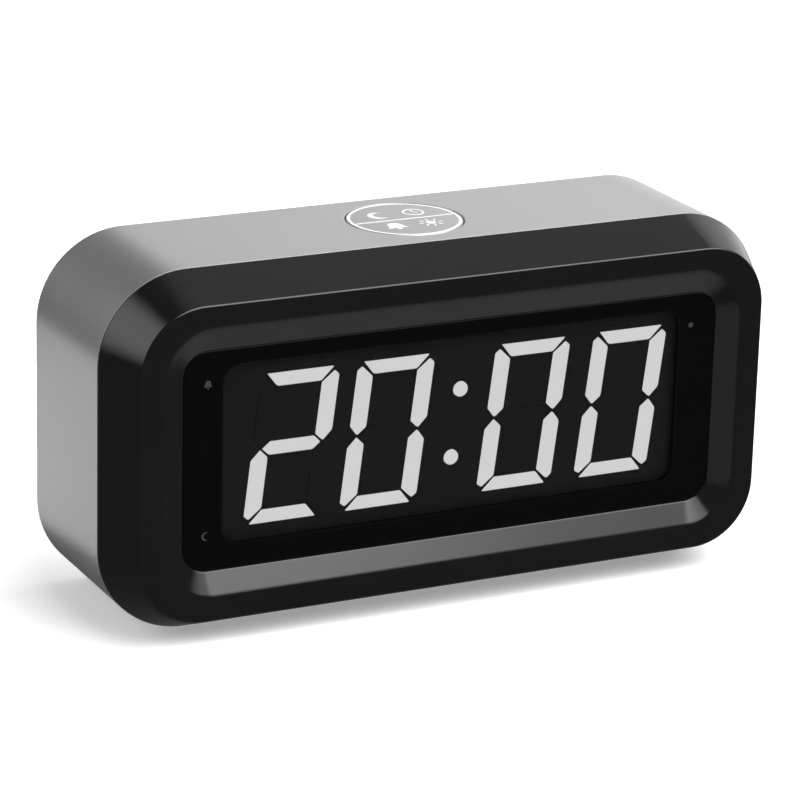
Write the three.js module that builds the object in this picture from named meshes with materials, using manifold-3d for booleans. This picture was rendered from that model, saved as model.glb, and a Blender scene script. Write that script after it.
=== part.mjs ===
// Battery-powered desk alarm clock with a slanted seven-segment LED display.
//
// Frame: millimetres, +X to the right as the display is read, the display faces -Y, +Z up.
// The origin lies on the table at the middle of the clock's footprint.
// A "depth" is measured backwards from the front rim, a "rise" upwards from the case's middle,
// and an "inset" inwards from the case's outer outline.

import * as THREE from 'three';
import { mergeVertices } from 'three/addons/utils/BufferGeometryUtils.js';
import Module from 'manifold-3d';

const wasm = await Module();
wasm.setup();

// ---------------------------------------------------------------- overall sizes

const WIDTH = 146;
const CASE_HEIGHT = 73.4;
const SEAM_DEPTH = 10.7; // of the joint between the bezel and the rear case
const SNOOZE_RADIUS = 11.9;
const SNOOZE_MARGIN = 4.85; // of the case's top ahead of the snooze button and behind it
const DEPTH = SEAM_DEPTH + 2 * (SNOOZE_RADIUS + SNOOZE_MARGIN);
const CORNER_RADIUS = 18.3;
const FOOT_PROUD = 0.5;

const GAP = 0.25; // between two pieces that bear on each other
const OVERLAP = 0.1; // of two solids that are joined into one piece
const PAST = 1; // by which a cutter reaches beyond what it cuts
const CORNER_STEPS = 10; // facets on each corner of the case's and the bezel's outlines
const PLATE_CORNER_STEPS = 3;
const ROUND_STEPS = 18;
const SMALL_ROUND_STEPS = 8;

// ---------------------------------------------------------------- bezel and lens

const SEAM_GAP = 0.3;
const RIM_INSET = 4.6;
const RIM_WIDTH = 4.5;
const RIM_OUTER_RADIUS = 13.2;
const RIM_INNER_RADIUS = 11.2;
const RECESS_WIDTH = 5.1;
const RECESS_DEPTH = 2.3;
const LENS_CORNER_RADIUS = 5.2;
const LENS_THICKNESS = 1.0;
const LENS_PLAY = 0.1;
const TAPE_THICKNESS = 0.3;
const TAPE_SPACE = 0.5;
const LEDGE_THICKNESS = 2.1;
const BEZEL_WALL = 2.3;
const SPIGOT_LENGTH = 3.2;
const SPIGOT_WALL = 2.1;
const RIM_RELIEF = 1; // of the hollow behind the rim, towards the lens
const OPENING_CORNER_RADIUS = 1;

// ---------------------------------------------------------------- display

const DIGIT_HEIGHT = 30.5;
const DIGIT_WIDTH = 16.8;
const DIGIT_PLACES = [-35.25, -14.5, 15.9, 38.15]; // the digits' middles along X
const DIGIT_SLANT = 0.118; // sideways lean for each millimetre of height
const UPRIGHT_BAR = 3.5;
const LEVEL_BAR = 2.7;
const SEGMENT_GAP = 0.47;
const SEGMENT_NIP = 1.3; // taken off the digit's outer corners
const COLON_RADIUS = 1.55;
const COLON_SPACING = 14.1;
const MODULE_HALF_WIDTH = 51.5;
const MODULE_MARGIN = 4.0; // of the module's face above and below its digits
const MODULE_RISE = 0.7;
const MODULE_PLAY = 0.4;
const MASK_THICKNESS = 1.0;
const MASK_PLAY = 0.15; // around each raised segment
const DIFFUSER_THICKNESS = 1.0;
const REFLECTOR_DEPTH = 4.5;
const REFLECTOR_WALL = 1;
const LED_SIZE = 1.4;
const LED_HEIGHT = 0.7;
const DISPLAY_POST_RISE = 14; // of its screw posts above and below the module's middle

// ---------------------------------------------------------------- case

const WALL = 2.2;
const BACK_WALL = 2.6;
const BACK_EDGE_RADIUS = 1.2;
const ARC_SHARE = 0.3; // of a rounding's radius that its middle stands in from the corner
const FOOT_RADIUS = 4.5;
const FOOT_RECESS = 1.0;
const FOOT_INSET_X = 24;
const FOOT_INSET_Y = 8;
const BOSS_INSET_X = 11;
const BOSS_INSET_Z = 12.7;
const BOSS_RADIUS = 3.2;
const BOSS_LENGTH = 24.8;
const BOSS_DEPTH = 1.9; // of its root in the bezel's front wall
const WELL_RADIUS = 3.2;
const WELL_WALL = 1.1;
const WELL_FLOOR = 2.0;

// ---------------------------------------------------------------- batteries

const CELL_LENGTH = 50.5;
const CELL_RADIUS = 7.25;
const CELL_PLAY = 0.7;
const SPRING_SPACE = 6.2;
const CONTACT_THICKNESS = 0.4;
const BAY_WALL = 1.6;
const BAY_RISE = 6.9; // of the bay's inside above the case's underside
const BAY_FLANGE = 1.2;
const BAY_FLANGE_WIDTH = 2.4;
const DOOR_THICKNESS = 2.1;
const DOOR_LAP = 1.4; // of the door over the bay's walls
const DOOR_PLAY = 0.3;
const DOOR_CORNER_RADIUS = 2;
const HOOK_WIDTH = 9;
const HOOK_THICKNESS = 1.2;
const HOOK_REACH = 1.8;
const HOOK_SPACING = 64;
const HOOK_ROOT = 0.2; // of a hook's neck above the door's lower edge
const HOOK_SWING = 1.4; // room for a hook as the door turns
const HOOK_END_ROOM = 0.9;
const LATCH_HALF_WIDTH = 7;
const LATCH_LENGTH = 9;
const LATCH_SLIT = 0.8;
const GRIP_COUNT = 3;
const GRIP_WIDTH = 0.8;
const GRIP_PITCH = 1.8;
const GRIP_DEPTH = 0.5;
const GRIP_MARGIN = 2; // of the grip inside the latch's slits
const FIRST_GRIP = 3; // below the door's upper edge
const TAB_HALF_HEIGHT = 2;
const TAB_SLOT = 1;
const TAB_REACH = 2; // of a solder tab ahead of the bay's floor
const CONTACT_SHARE = 0.8; // of a cell's radius that a contact covers
const SPRING_WIRE_RADIUS = 0.35;
const SPRING_WIDE_RADIUS = 4.6;
const SPRING_NARROW_RADIUS = 2.6;
const SPRING_TURNS = 4;
const SPRING_STEPS = 10; // facets on each turn
const SPRING_SIDES = 5;
const CELL_END_CHAMFER = 0.5;
const CELL_SHOULDER = 0.6;
const NUB_RADIUS = 2.6;
const NUB_LENGTH = 1;

// ---------------------------------------------------------------- buttons and switches

const PRESS = 0.8; // travel of every push button
const SNOOZE_PLAY = 0.2;
const SNOOZE_FLANGE = 1.2; // thickness of its rim under the case
const SNOOZE_FLANGE_LAP = 1; // of that rim beyond the hole in the case
const SNOOZE_POST_CLEARANCE = 1;
const BUTTON_RADIUS = 4;
const BUTTON_PLAY = 0.25;
const BUTTON_FLANGE = 1.0; // thickness of each button's rim inside the back
const BUTTON_FLANGE_LAP = 1;
const BUTTON_PITCH = 14;
const FIRST_BUTTON_X = -14;
const STEM_RADIUS = 1.6;
const STEM_LENGTH = 1.6;
const CONTROL_RECESS = 1.2;
const CONTROL_HALF_HEIGHT = 7.5;
const CONTROL_END = 8; // of the recess beyond its outermost controls
const CONTROL_CORNER_RADIUS = 3;
const BUTTON_SINK = 0.2; // of a button's face below the back
const SLIDE_TRAVEL = 3;
const KNOB_LENGTH = 4.6;
const KNOB_HEIGHT = 3.4;
const KNOB_FLANGE = 3.2;
const KNOB_FLANGE_LAP = 1.5;
const KNOB_TONGUE = [1.5, 1]; // half its width and height
const SWITCH_SIZE = 6;
const SWITCH_HEIGHT = 3.5;
const PLUNGER_HEIGHT = 0.8;
const PLUNGER_RADIUS = 1.7;
const PLUNGER_ROOT = 1; // of the plunger above the switch's underside

// ---------------------------------------------------------------- boards, sounder and screws

const BOARD_THICKNESS = 1.6;
const CONTROL_BOARD_HALF_HEIGHT = 10;
const CONTROL_BOARD_END = 3.5;
const SNOOZE_BOARD_END = 1.7; // of the board beyond its screw posts
const SNOOZE_BOARD_FRONT = 5.6; // of the board ahead of the button's middle
const SNOOZE_BOARD_REAR = 3.4;
const SOUNDER_RADIUS = 11.5;
const SOUNDER_HEIGHT = 6.5;
const SOUNDER_X = -45;
const SOUNDER_RING = 1.4;
const SOUNDER_RING_SHARE = 0.8; // of the sounder's height
const SOUND_HOLE_RADIUS = 0.9;
const SOUND_HOLE_PITCH = 3.4;
const POST_RADIUS = 2.1;
const POST_ROOT = 0.5; // of a display post inside the bezel's ledge
const PILOT_PLAY = 0.2;
const LEAD_RADIUS = 0.6;
const LEAD_SIDES = 6;
const CHIP_HEIGHT = 1.8;
const DRIVER_CHIP = { x: 24, halfWidth: 7.5, halfHeight: 3.8 };
const MAIN_CHIP = { x: 14, drop: 3, halfSize: 6 };
const CRYSTAL = { x: -2, radius: 1.6, length: 6 };
const BATTERY_LEAD = { bow: 4, rise: 5, clearance: 2, dip: 2, steps: 16, endInset: 6 };
const SOUNDER_LEAD = { out: 6, bow: 5, drop: 2, past: 2, dip: 3, end: 3, endDrop: 6, steps: 12 };
const RIBBON = { x: -14, halfWidth: 8, sag: 3, halfThickness: 0.4, drop: 2, steps: 12 };

const SCREW_TIP_LENGTH = 1.2;
const SCREW_TIP_SHARE = 0.5; // of the shank's radius
const SCREW_SIDE_SHARE = 0.55; // of the head's height that is upright
const SCREW_CROWN_SHARE = 0.6; // of the head's radius that is flat on top
const CASE_SCREW = { head: 2.7, headHeight: 1.7, shank: 1.25, length: 10 };
const BOARD_SCREW = { head: 1.9, headHeight: 1.2, shank: 0.9, length: 6 };

// ---------------------------------------------------------------- places worked out from the sizes

const FRONT = -DEPTH / 2;
const CASE_BOTTOM = FOOT_PROUD;
const CASE_TOP = FOOT_PROUD + CASE_HEIGHT;
const MIDDLE = FOOT_PROUD + CASE_HEIGHT / 2;
const BACK_INSIDE = DEPTH - BACK_WALL;

const LENS_INSET = RIM_INSET + RIM_WIDTH + RECESS_WIDTH;
const LENS_BACK = RECESS_DEPTH + LENS_THICKNESS;
const LEDGE_DEPTH = LENS_BACK + TAPE_SPACE;
const LEDGE_BACK = LEDGE_DEPTH + LEDGE_THICKNESS;

const MODULE_HALF_HEIGHT = DIGIT_HEIGHT / 2 + MODULE_MARGIN;
const MODULE_Z = MIDDLE + MODULE_RISE;
const MASK_DEPTH = LENS_BACK + GAP;
const DIFFUSER_DEPTH = MASK_DEPTH + MASK_THICKNESS + GAP;
const REFLECTOR_DEPTH_FRONT = DIFFUSER_DEPTH + DIFFUSER_THICKNESS + GAP;
const DISPLAY_BOARD_DEPTH = REFLECTOR_DEPTH_FRONT + REFLECTOR_DEPTH + GAP;
const DISPLAY_POST_X = MODULE_HALF_WIDTH + MODULE_PLAY + POST_RADIUS + GAP;

const BAY_HALF_WIDTH = CELL_LENGTH + (SPRING_SPACE + 2 * CONTACT_THICKNESS + 3 * GAP) / 2;
const BAY_BOTTOM = CASE_BOTTOM + BAY_RISE;
const CELL_PITCH = 2 * CELL_RADIUS + CELL_PLAY;
const BAY_TOP = BAY_BOTTOM + 2 * CELL_PITCH;
const BAY_FLOOR_DEPTH = BACK_INSIDE - 2 * CELL_RADIUS - CELL_PLAY;
const CELL_ROWS = [BAY_BOTTOM + CELL_PITCH / 2, BAY_BOTTOM + 1.5 * CELL_PITCH];
const CELL_DEPTH = BAY_FLOOR_DEPTH + CELL_PLAY / 2 + CELL_RADIUS;
const TAB_DEPTH = BAY_FLOOR_DEPTH - BAY_WALL - TAB_REACH;
const DOOR_BOTTOM = BAY_BOTTOM - DOOR_LAP;
const DOOR_TOP = BAY_TOP + DOOR_LAP;
const DOOR_HALF_WIDTH = BAY_HALF_WIDTH + DOOR_LAP;

const CONTROL_Z = (BAY_TOP + BAY_WALL + CASE_TOP - WALL) / 2;
const BUTTON_COUNT = 4;
const SLIDE_X = FIRST_BUTTON_X + BUTTON_COUNT * BUTTON_PITCH;
const CONTROL_LEFT = FIRST_BUTTON_X - CONTROL_END;
const CONTROL_RIGHT = SLIDE_X + SLIDE_TRAVEL + CONTROL_END;
const FLANGE_BACK_DEPTH = BACK_INSIDE - GAP;
const STEM_END_DEPTH = FLANGE_BACK_DEPTH - BUTTON_FLANGE - STEM_LENGTH;
const CONTROL_BOARD_BACK = STEM_END_DEPTH - PRESS - GAP - PLUNGER_HEIGHT - SWITCH_HEIGHT - GAP;
const CONTROL_BOARD_FRONT = CONTROL_BOARD_BACK - BOARD_THICKNESS;
const CONTROL_POSTS = [CONTROL_LEFT, CONTROL_RIGHT];

const SNOOZE_DEPTH = SEAM_DEPTH + SNOOZE_MARGIN + SNOOZE_RADIUS;
const SNOOZE_FLANGE_RADIUS = SNOOZE_RADIUS + SNOOZE_PLAY + SNOOZE_FLANGE_LAP;
const SNOOZE_FLANGE_TOP = CASE_TOP - WALL - GAP;
const SNOOZE_STEM_END = SNOOZE_FLANGE_TOP - SNOOZE_FLANGE - STEM_LENGTH;
const SNOOZE_BOARD_TOP = SNOOZE_STEM_END - PRESS - GAP - PLUNGER_HEIGHT - SWITCH_HEIGHT - GAP;
const SNOOZE_POST_X = SNOOZE_FLANGE_RADIUS + POST_RADIUS + SNOOZE_POST_CLEARANCE;
const SNOOZE_BOARD_HALF_WIDTH = SNOOZE_POST_X + POST_RADIUS + SNOOZE_BOARD_END;

const BOSS_END = BOSS_DEPTH + BOSS_LENGTH;
const WELL_FLOOR_DEPTH = BOSS_END + GAP + WELL_FLOOR;

// ---------------------------------------------------------------- finishes

function finish(colour, roughness, metalness = 0) {
  return new THREE.MeshStandardMaterial({ color: colour, roughness, metalness });
}

const CASE_GREY = finish(0x8c8c8e, 0.38);
const GLOSS_BLACK = finish(0x0c0c0d, 0.12);
const LENS_BLACK = finish(0x050505, 0.08);
const MASK_GREY = finish(0x1b1b1b, 0.5);
const LIT_WHITE = finish(0xd8d8d8, 0.5);
const REFLECTOR_WHITE = finish(0xe8e8e4, 0.6);
const BOARD_GREEN = finish(0x1f5a35, 0.5);
const SWITCH_BLACK = finish(0x151515, 0.45);
const BUTTON_BLACK = finish(0x1c1c1e, 0.5);
const SPRING_STEEL = finish(0xb9bcc0, 0.3, 1);
const SCREW_STEEL = finish(0x9a9ca0, 0.35, 1);
const CELL_JACKET = finish(0x2f4f6e, 0.35, 0.3);
const TAPE_BLACK = finish(0x101010, 0.9);
const FOOT_RUBBER = finish(0x222222, 0.9);
const LEAD_RED = finish(0xa02020, 0.5);
const LEAD_BLACK = finish(0x181818, 0.5);
const RIBBON_GREY = finish(0x9a9a9a, 0.6);

// ---------------------------------------------------------------- solids

function depthToY(depth) {
  return FRONT + depth;
}

/** Makes a closed geometry a solid that can be joined and cut. */
function toSolid(geometry) {
  const bare = geometry.index ? geometry.toNonIndexed() : geometry.clone();
  bare.deleteAttribute('normal');
  bare.deleteAttribute('uv');
  const merged = mergeVertices(bare, 1e-4);
  return new wasm.Manifold(new wasm.Mesh({
    numProp: 3,
    vertProperties: new Float32Array(merged.attributes.position.array),
    triVerts: new Uint32Array(merged.index.array),
  }));
}

function toGeometry(solid) {
  const mesh = solid.getMesh();
  const geometry = new THREE.BufferGeometry();
  geometry.setAttribute('position', new THREE.BufferAttribute(mesh.vertProperties, 3));
  geometry.setIndex(new THREE.BufferAttribute(mesh.triVerts, 1));
  return geometry;
}

function joined(solids) {
  return solids.reduce((whole, solid) => whole.add(solid));
}

function cutBy(solid, cutters) {
  return cutters.reduce((left, cutter) => left.subtract(cutter), solid);
}

/** A block between two corners, given as its range along each axis. */
function block([x0, x1], [y0, y1], [z0, z1]) {
  const geometry = new THREE.BoxGeometry(x1 - x0, y1 - y0, z1 - z0);
  geometry.translate((x0 + x1) / 2, (y0 + y1) / 2, (z0 + z1) / 2);
  return toSolid(geometry);
}

/** A round bar along Y between two depths. */
function barY(radius, x, z, fromDepth, toDepth, steps = SMALL_ROUND_STEPS) {
  const geometry = new THREE.CylinderGeometry(radius, radius, toDepth - fromDepth, steps);
  geometry.translate(x, depthToY((fromDepth + toDepth) / 2), z);
  return toSolid(geometry);
}

/** A round bar along Z between two heights. */
function barZ(radius, x, y, fromZ, toZ, steps = SMALL_ROUND_STEPS) {
  const geometry = new THREE.CylinderGeometry(radius, radius, toZ - fromZ, steps);
  geometry.rotateX(Math.PI / 2);
  geometry.translate(x, y, (fromZ + toZ) / 2);
  return toSolid(geometry);
}

/** The corner-rounded rectangle's points in X and Z, counter-clockwise as seen from the front. */
function roundedOutline(halfWidth, halfHeight, radius, x = 0, z = MIDDLE, steps = CORNER_STEPS) {
  const points = [];
  const corners = [[1, 1], [-1, 1], [-1, -1], [1, -1]];
  corners.forEach(([sideX, sideZ], quarter) => {
    for (let step = 0; step <= steps; step += 1) {
      const angle = (quarter + step / steps) * Math.PI / 2;
      points.push([
        x + sideX * (halfWidth - radius) + radius * Math.cos(angle),
        z + sideZ * (halfHeight - radius) + radius * Math.sin(angle),
      ]);
    }
  });
  return points;
}

/** The case's outline drawn in by an inset. */
function caseOutline(inset, radius = CORNER_RADIUS - inset) {
  return roundedOutline(WIDTH / 2 - inset, CASE_HEIGHT / 2 - inset, Math.max(radius, 1));
}

/** Joins outlines of equal point count, each at its depth, by a skin; a loop closes on itself. */
function loft(sections, isLoop) {
  const count = sections[0].outline.length;
  const positions = [];
  const indices = [];
  sections.forEach(({ outline, depth }) => {
    outline.forEach(([x, z]) => positions.push(x, depthToY(depth), z));
  });
  const bands = isLoop ? sections.length : sections.length - 1;
  for (let band = 0; band < bands; band += 1) {
    const here = band * count;
    const next = ((band + 1) % sections.length) * count;
    for (let step = 0; step < count; step += 1) {
      const beside = (step + 1) % count;
      indices.push(here + step, here + beside, next + beside);
      indices.push(here + step, next + beside, next + step);
    }
  }
  if (!isLoop) {
    const last = (sections.length - 1) * count;
    for (let step = 1; step < count - 1; step += 1) {
      indices.push(0, step + 1, step);
      indices.push(last, last + step, last + step + 1);
    }
  }
  const geometry = new THREE.BufferGeometry();
  geometry.setAttribute('position', new THREE.Float32BufferAttribute(positions, 3));
  geometry.setIndex(indices);
  return toSolid(facingOut(geometry));
}

/** Turns every face over when the geometry's signed volume says that they point in. */
function facingOut(geometry) {
  const position = geometry.attributes.position;
  const index = geometry.index.array;
  const corner = [new THREE.Vector3(), new THREE.Vector3(), new THREE.Vector3()];
  let volume = 0;
  for (let start = 0; start < index.length; start += 3) {
    corner.forEach((point, offset) => point.fromBufferAttribute(position, index[start + offset]));
    volume += corner[0].dot(corner[1].clone().cross(corner[2]));
  }
  if (volume < 0) {
    for (let start = 0; start < index.length; start += 3) {
      [index[start + 1], index[start + 2]] = [index[start + 2], index[start + 1]];
    }
  }
  return geometry;
}

/** A plate with rounded corners, standing upright between two depths. */
function plate(halfWidth, halfHeight, radius, x, z, fromDepth, toDepth) {
  const outline = roundedOutline(halfWidth, halfHeight, radius, x, z, PLATE_CORNER_STEPS);
  return loft([{ outline, depth: fromDepth }, { outline, depth: toDepth }], false);
}

/** A prism of any simple outline in X and Z between two depths. */
function prism(points, fromDepth, toDepth) {
  const shape = new THREE.Shape(points.map(([x, z]) => new THREE.Vector2(x, z)));
  const geometry = new THREE.ExtrudeGeometry(shape, { depth: toDepth - fromDepth, bevelEnabled: false });
  geometry.rotateX(Math.PI / 2);
  geometry.translate(0, depthToY(toDepth), 0);
  return toSolid(geometry);
}

/** Grows a convex outline, counter-clockwise, by the same distance on every side. */
function grown(points, distance) {
  const count = points.length;
  return points.map((point, index) => {
    const before = points[(index + count - 1) % count];
    const after = points[(index + 1) % count];
    const inward = new THREE.Vector2(point[0] - before[0], point[1] - before[1]).normalize();
    const outward = new THREE.Vector2(after[0] - point[0], after[1] - point[1]).normalize();
    const mitre = new THREE.Vector2(inward.y + outward.y, -inward.x - outward.x);
    const reach = distance / (1 + inward.dot(outward));
    return [point[0] + mitre.x * reach, point[1] + mitre.y * reach];
  });
}

/** A round wire along a smooth curve through the points. */
function wire(points, radius, sides, steps) {
  const curve = new THREE.CatmullRomCurve3(points.map(([x, y, z]) => new THREE.Vector3(x, y, z)));
  const section = new THREE.Shape();
  for (let side = 0; side < sides; side += 1) {
    const angle = 2 * Math.PI * side / sides;
    const place = [radius * Math.cos(angle), radius * Math.sin(angle)];
    if (side === 0) section.moveTo(...place);
    else section.lineTo(...place);
  }
  section.closePath();
  return toSolid(new THREE.ExtrudeGeometry(section, { extrudePath: curve, steps, bevelEnabled: false }));
}

/** A screw with a domed head, its head's underside at the origin and its shank along -Y. */
function screwGeometry(size) {
  const { head, headHeight, shank, length } = size;
  const profile = [
    [0, -length],
    [shank * SCREW_TIP_SHARE, -length],
    [shank, SCREW_TIP_LENGTH - length],
    [shank, 0],
    [head, 0],
    [head, headHeight * SCREW_SIDE_SHARE],
    [head * SCREW_CROWN_SHARE, headHeight],
    [0, headHeight],
  ].map(([radius, height]) => new THREE.Vector2(radius, height));
  return toGeometry(toSolid(new THREE.LatheGeometry(profile, SMALL_ROUND_STEPS)));
}

// ---------------------------------------------------------------- assembly

const clock = new THREE.Group();
clock.name = 'alarm_clock';

/** Adds one named piece made of a solid that is already in its place. */
function addPiece(name, solid, material, parent = clock) {
  const mesh = new THREE.Mesh(toGeometry(solid), material);
  mesh.name = name;
  parent.add(mesh);
  return mesh;
}

/** Adds a screw with its head's underside at a place and its shank pointing along a direction. */
function addScrew(name, size, place, direction) {
  const mesh = new THREE.Mesh(screwGeometry(size), SCREW_STEEL);
  mesh.name = name;
  mesh.position.set(...place);
  mesh.quaternion.setFromUnitVectors(new THREE.Vector3(0, -1, 0), new THREE.Vector3(...direction));
  clock.add(mesh);
}

/** The four corner places of a rectangle about the clock's middle line. */
function fourCorners(halfWidth, halfHeight, z) {
  return [[-1, -1], [1, -1], [1, 1], [-1, 1]].map(([sideX, sideZ]) => [
    sideX * halfWidth,
    z + sideZ * halfHeight,
  ]);
}

const BOSS_PLACES = fourCorners(WIDTH / 2 - BOSS_INSET_X, CASE_HEIGHT / 2 - BOSS_INSET_Z, MIDDLE);
const DISPLAY_POSTS = fourCorners(DISPLAY_POST_X, DISPLAY_POST_RISE, MODULE_Z);

// ---------------------------------------------------------------- front

function buildBezel() {
  const wallInset = WALL + GAP;
  const spigotInset = wallInset + SPIGOT_WALL;
  const spigotEnd = SEAM_DEPTH + SPIGOT_LENGTH;
  const opening = roundedOutline(
    MODULE_HALF_WIDTH + MODULE_PLAY,
    MODULE_HALF_HEIGHT + MODULE_PLAY,
    OPENING_CORNER_RADIUS,
    0,
    MODULE_Z,
  );
  const lensEdge = caseOutline(LENS_INSET, LENS_CORNER_RADIUS);
  const shell = loft([
    { outline: caseOutline(0), depth: SEAM_DEPTH },
    { outline: caseOutline(RIM_INSET, RIM_OUTER_RADIUS), depth: 0 },
    { outline: caseOutline(RIM_INSET + RIM_WIDTH, RIM_INNER_RADIUS), depth: 0 },
    { outline: lensEdge, depth: RECESS_DEPTH },
    { outline: lensEdge, depth: LEDGE_DEPTH },
    { outline: opening, depth: LEDGE_DEPTH },
    { outline: opening, depth: LEDGE_BACK },
    { outline: caseOutline(LENS_INSET - BEZEL_WALL), depth: LEDGE_BACK },
    { outline: caseOutline(RIM_INSET + RIM_WIDTH + RIM_RELIEF), depth: BEZEL_WALL },
    { outline: caseOutline(RIM_INSET + BEZEL_WALL), depth: BEZEL_WALL },
    { outline: caseOutline(spigotInset), depth: SEAM_DEPTH - SPIGOT_LENGTH },
    { outline: caseOutline(spigotInset), depth: spigotEnd },
    { outline: caseOutline(wallInset), depth: spigotEnd },
    { outline: caseOutline(wallInset), depth: SEAM_DEPTH },
  ], true);
  const bosses = BOSS_PLACES.map(([x, z]) => barY(BOSS_RADIUS, x, z, BOSS_DEPTH, BOSS_END));
  const posts = DISPLAY_POSTS.map(([x, z]) => (
    barY(POST_RADIUS, x, z, LEDGE_BACK - POST_ROOT, DISPLAY_BOARD_DEPTH - GAP)
  ));
  const bossPilot = CASE_SCREW.shank + PILOT_PLAY;
  const postPilot = BOARD_SCREW.shank + PILOT_PLAY;
  const pilots = [
    ...BOSS_PLACES.map(([x, z]) => (
      barY(bossPilot, x, z, BOSS_END - CASE_SCREW.length, BOSS_END + PAST)
    )),
    ...DISPLAY_POSTS.map(([x, z]) => (
      barY(postPilot, x, z, DISPLAY_BOARD_DEPTH - BOARD_SCREW.length, DISPLAY_BOARD_DEPTH)
    )),
  ];
  return cutBy(joined([shell, ...bosses, ...posts]), pilots);
}

function buildLens() {
  const edge = caseOutline(LENS_INSET + LENS_PLAY, LENS_CORNER_RADIUS - LENS_PLAY);
  return loft([{ outline: edge, depth: RECESS_DEPTH }, { outline: edge, depth: LENS_BACK }], false);
}

function buildLensTape() {
  const front = LENS_BACK + (TAPE_SPACE - TAPE_THICKNESS) / 2;
  const outer = caseOutline(LENS_INSET + 2 * LENS_PLAY, LENS_CORNER_RADIUS - 2 * LENS_PLAY);
  const inner = roundedOutline(
    MODULE_HALF_WIDTH + 2 * MODULE_PLAY,
    MODULE_HALF_HEIGHT + 2 * MODULE_PLAY,
    OPENING_CORNER_RADIUS,
    0,
    MODULE_Z,
  );
  return loft([
    { outline: outer, depth: front },
    { outline: outer, depth: front + TAPE_THICKNESS },
    { outline: inner, depth: front + TAPE_THICKNESS },
    { outline: inner, depth: front },
  ], true);
}

addPiece('front_bezel', buildBezel(), GLOSS_BLACK);
addPiece('display_lens', buildLens(), LENS_BLACK);
addPiece('lens_tape', buildLensTape(), TAPE_BLACK);

// ---------------------------------------------------------------- display

/** The seven bars of an upright digit whose lower left corner is at 0, 0. */
function uprightSegments() {
  const w = DIGIT_WIDTH;
  const h = DIGIT_HEIGHT;
  const half = h / 2;
  const slope = LEVEL_BAR / UPRIGHT_BAR;
  const top = [
    [SEGMENT_NIP, h],
    [UPRIGHT_BAR + SEGMENT_GAP / 2, h - LEVEL_BAR],
    [w - UPRIGHT_BAR - SEGMENT_GAP / 2, h - LEVEL_BAR],
    [w - SEGMENT_NIP, h],
  ];
  const upperLeft = [
    [0, h - SEGMENT_NIP - SEGMENT_GAP],
    [0, half + LEVEL_BAR / 2 + 2 * SEGMENT_GAP],
    [UPRIGHT_BAR / 2, half + SEGMENT_GAP / 2],
    [UPRIGHT_BAR, half + LEVEL_BAR / 2 + SEGMENT_GAP],
    [UPRIGHT_BAR, h - LEVEL_BAR - SEGMENT_GAP],
    [SEGMENT_NIP * slope, h - SEGMENT_NIP * slope + SEGMENT_GAP / 8],
  ];
  const middle = [
    [UPRIGHT_BAR / 2 + SEGMENT_GAP, half],
    [UPRIGHT_BAR + SEGMENT_GAP / 2, half - LEVEL_BAR / 2],
    [w - UPRIGHT_BAR - SEGMENT_GAP / 2, half - LEVEL_BAR / 2],
    [w - UPRIGHT_BAR / 2 - SEGMENT_GAP, half],
    [w - UPRIGHT_BAR - SEGMENT_GAP / 2, half + LEVEL_BAR / 2],
    [UPRIGHT_BAR + SEGMENT_GAP / 2, half + LEVEL_BAR / 2],
  ];
  const acrossX = (points) => points.map(([x, z]) => [w - x, z]).reverse();
  const acrossZ = (points) => points.map(([x, z]) => [x, h - z]).reverse();
  return [
    top,
    acrossZ(top),
    middle,
    upperLeft,
    acrossZ(upperLeft),
    acrossX(upperLeft),
    acrossX(acrossZ(upperLeft)),
  ];
}

/** Leans an outline about the digits' middle line and moves it to its place. */
function leaned(points, x) {
  return points.map(([px, pz]) => {
    const rise = pz - DIGIT_HEIGHT / 2;
    return [x + px - DIGIT_WIDTH / 2 + DIGIT_SLANT * rise, MODULE_Z + rise];
  });
}

const COLON_X = (DIGIT_PLACES[1] + DIGIT_PLACES[2]) / 2;
const COLON_PLACES = [-1, 1].map((side) => [
  COLON_X + side * DIGIT_SLANT * COLON_SPACING / 2,
  MODULE_Z + side * COLON_SPACING / 2,
]);

const LEAN_REACH = DIGIT_SLANT * DIGIT_HEIGHT / 2;
const DIFFUSER_HALF_WIDTH = DIGIT_WIDTH / 2 + LEAN_REACH;
const COLON_HALF_WIDTH = COLON_X - DIGIT_PLACES[1] - DIFFUSER_HALF_WIDTH - GAP;
const DIFFUSER_HALF_HEIGHT = DIGIT_HEIGHT / 2 + SEGMENT_GAP;
const RAISED_DEPTH = MASK_DEPTH + GAP / 2;

/** A plate as tall as the display module, between two depths. */
function modulePlate(halfWidth, fromDepth, toDepth) {
  const corner = OPENING_CORNER_RADIUS;
  return plate(halfWidth, MODULE_HALF_HEIGHT, corner, 0, MODULE_Z, fromDepth, toDepth);
}

function buildMask() {
  const back = MASK_DEPTH + MASK_THICKNESS;
  const face = modulePlate(MODULE_HALF_WIDTH, MASK_DEPTH, back);
  const windows = DIGIT_PLACES.flatMap((x) => uprightSegments().map((outline) => (
    prism(grown(leaned(outline, x), MASK_PLAY), MASK_DEPTH - PAST, back + PAST)
  )));
  const dots = COLON_PLACES.map(([x, z]) => (
    barY(COLON_RADIUS + MASK_PLAY, x, z, MASK_DEPTH - PAST, back + PAST, ROUND_STEPS)
  ));
  return cutBy(face, [...windows, ...dots]);
}

function buildDigitDiffuser(x) {
  const back = block(
    [x - DIFFUSER_HALF_WIDTH, x + DIFFUSER_HALF_WIDTH],
    [depthToY(DIFFUSER_DEPTH), depthToY(DIFFUSER_DEPTH + DIFFUSER_THICKNESS)],
    [MODULE_Z - DIFFUSER_HALF_HEIGHT, MODULE_Z + DIFFUSER_HALF_HEIGHT],
  );
  const raised = uprightSegments().map((outline) => (
    prism(leaned(outline, x), RAISED_DEPTH, DIFFUSER_DEPTH + DIFFUSER_THICKNESS / 2)
  ));
  return joined([back, ...raised]);
}

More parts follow.
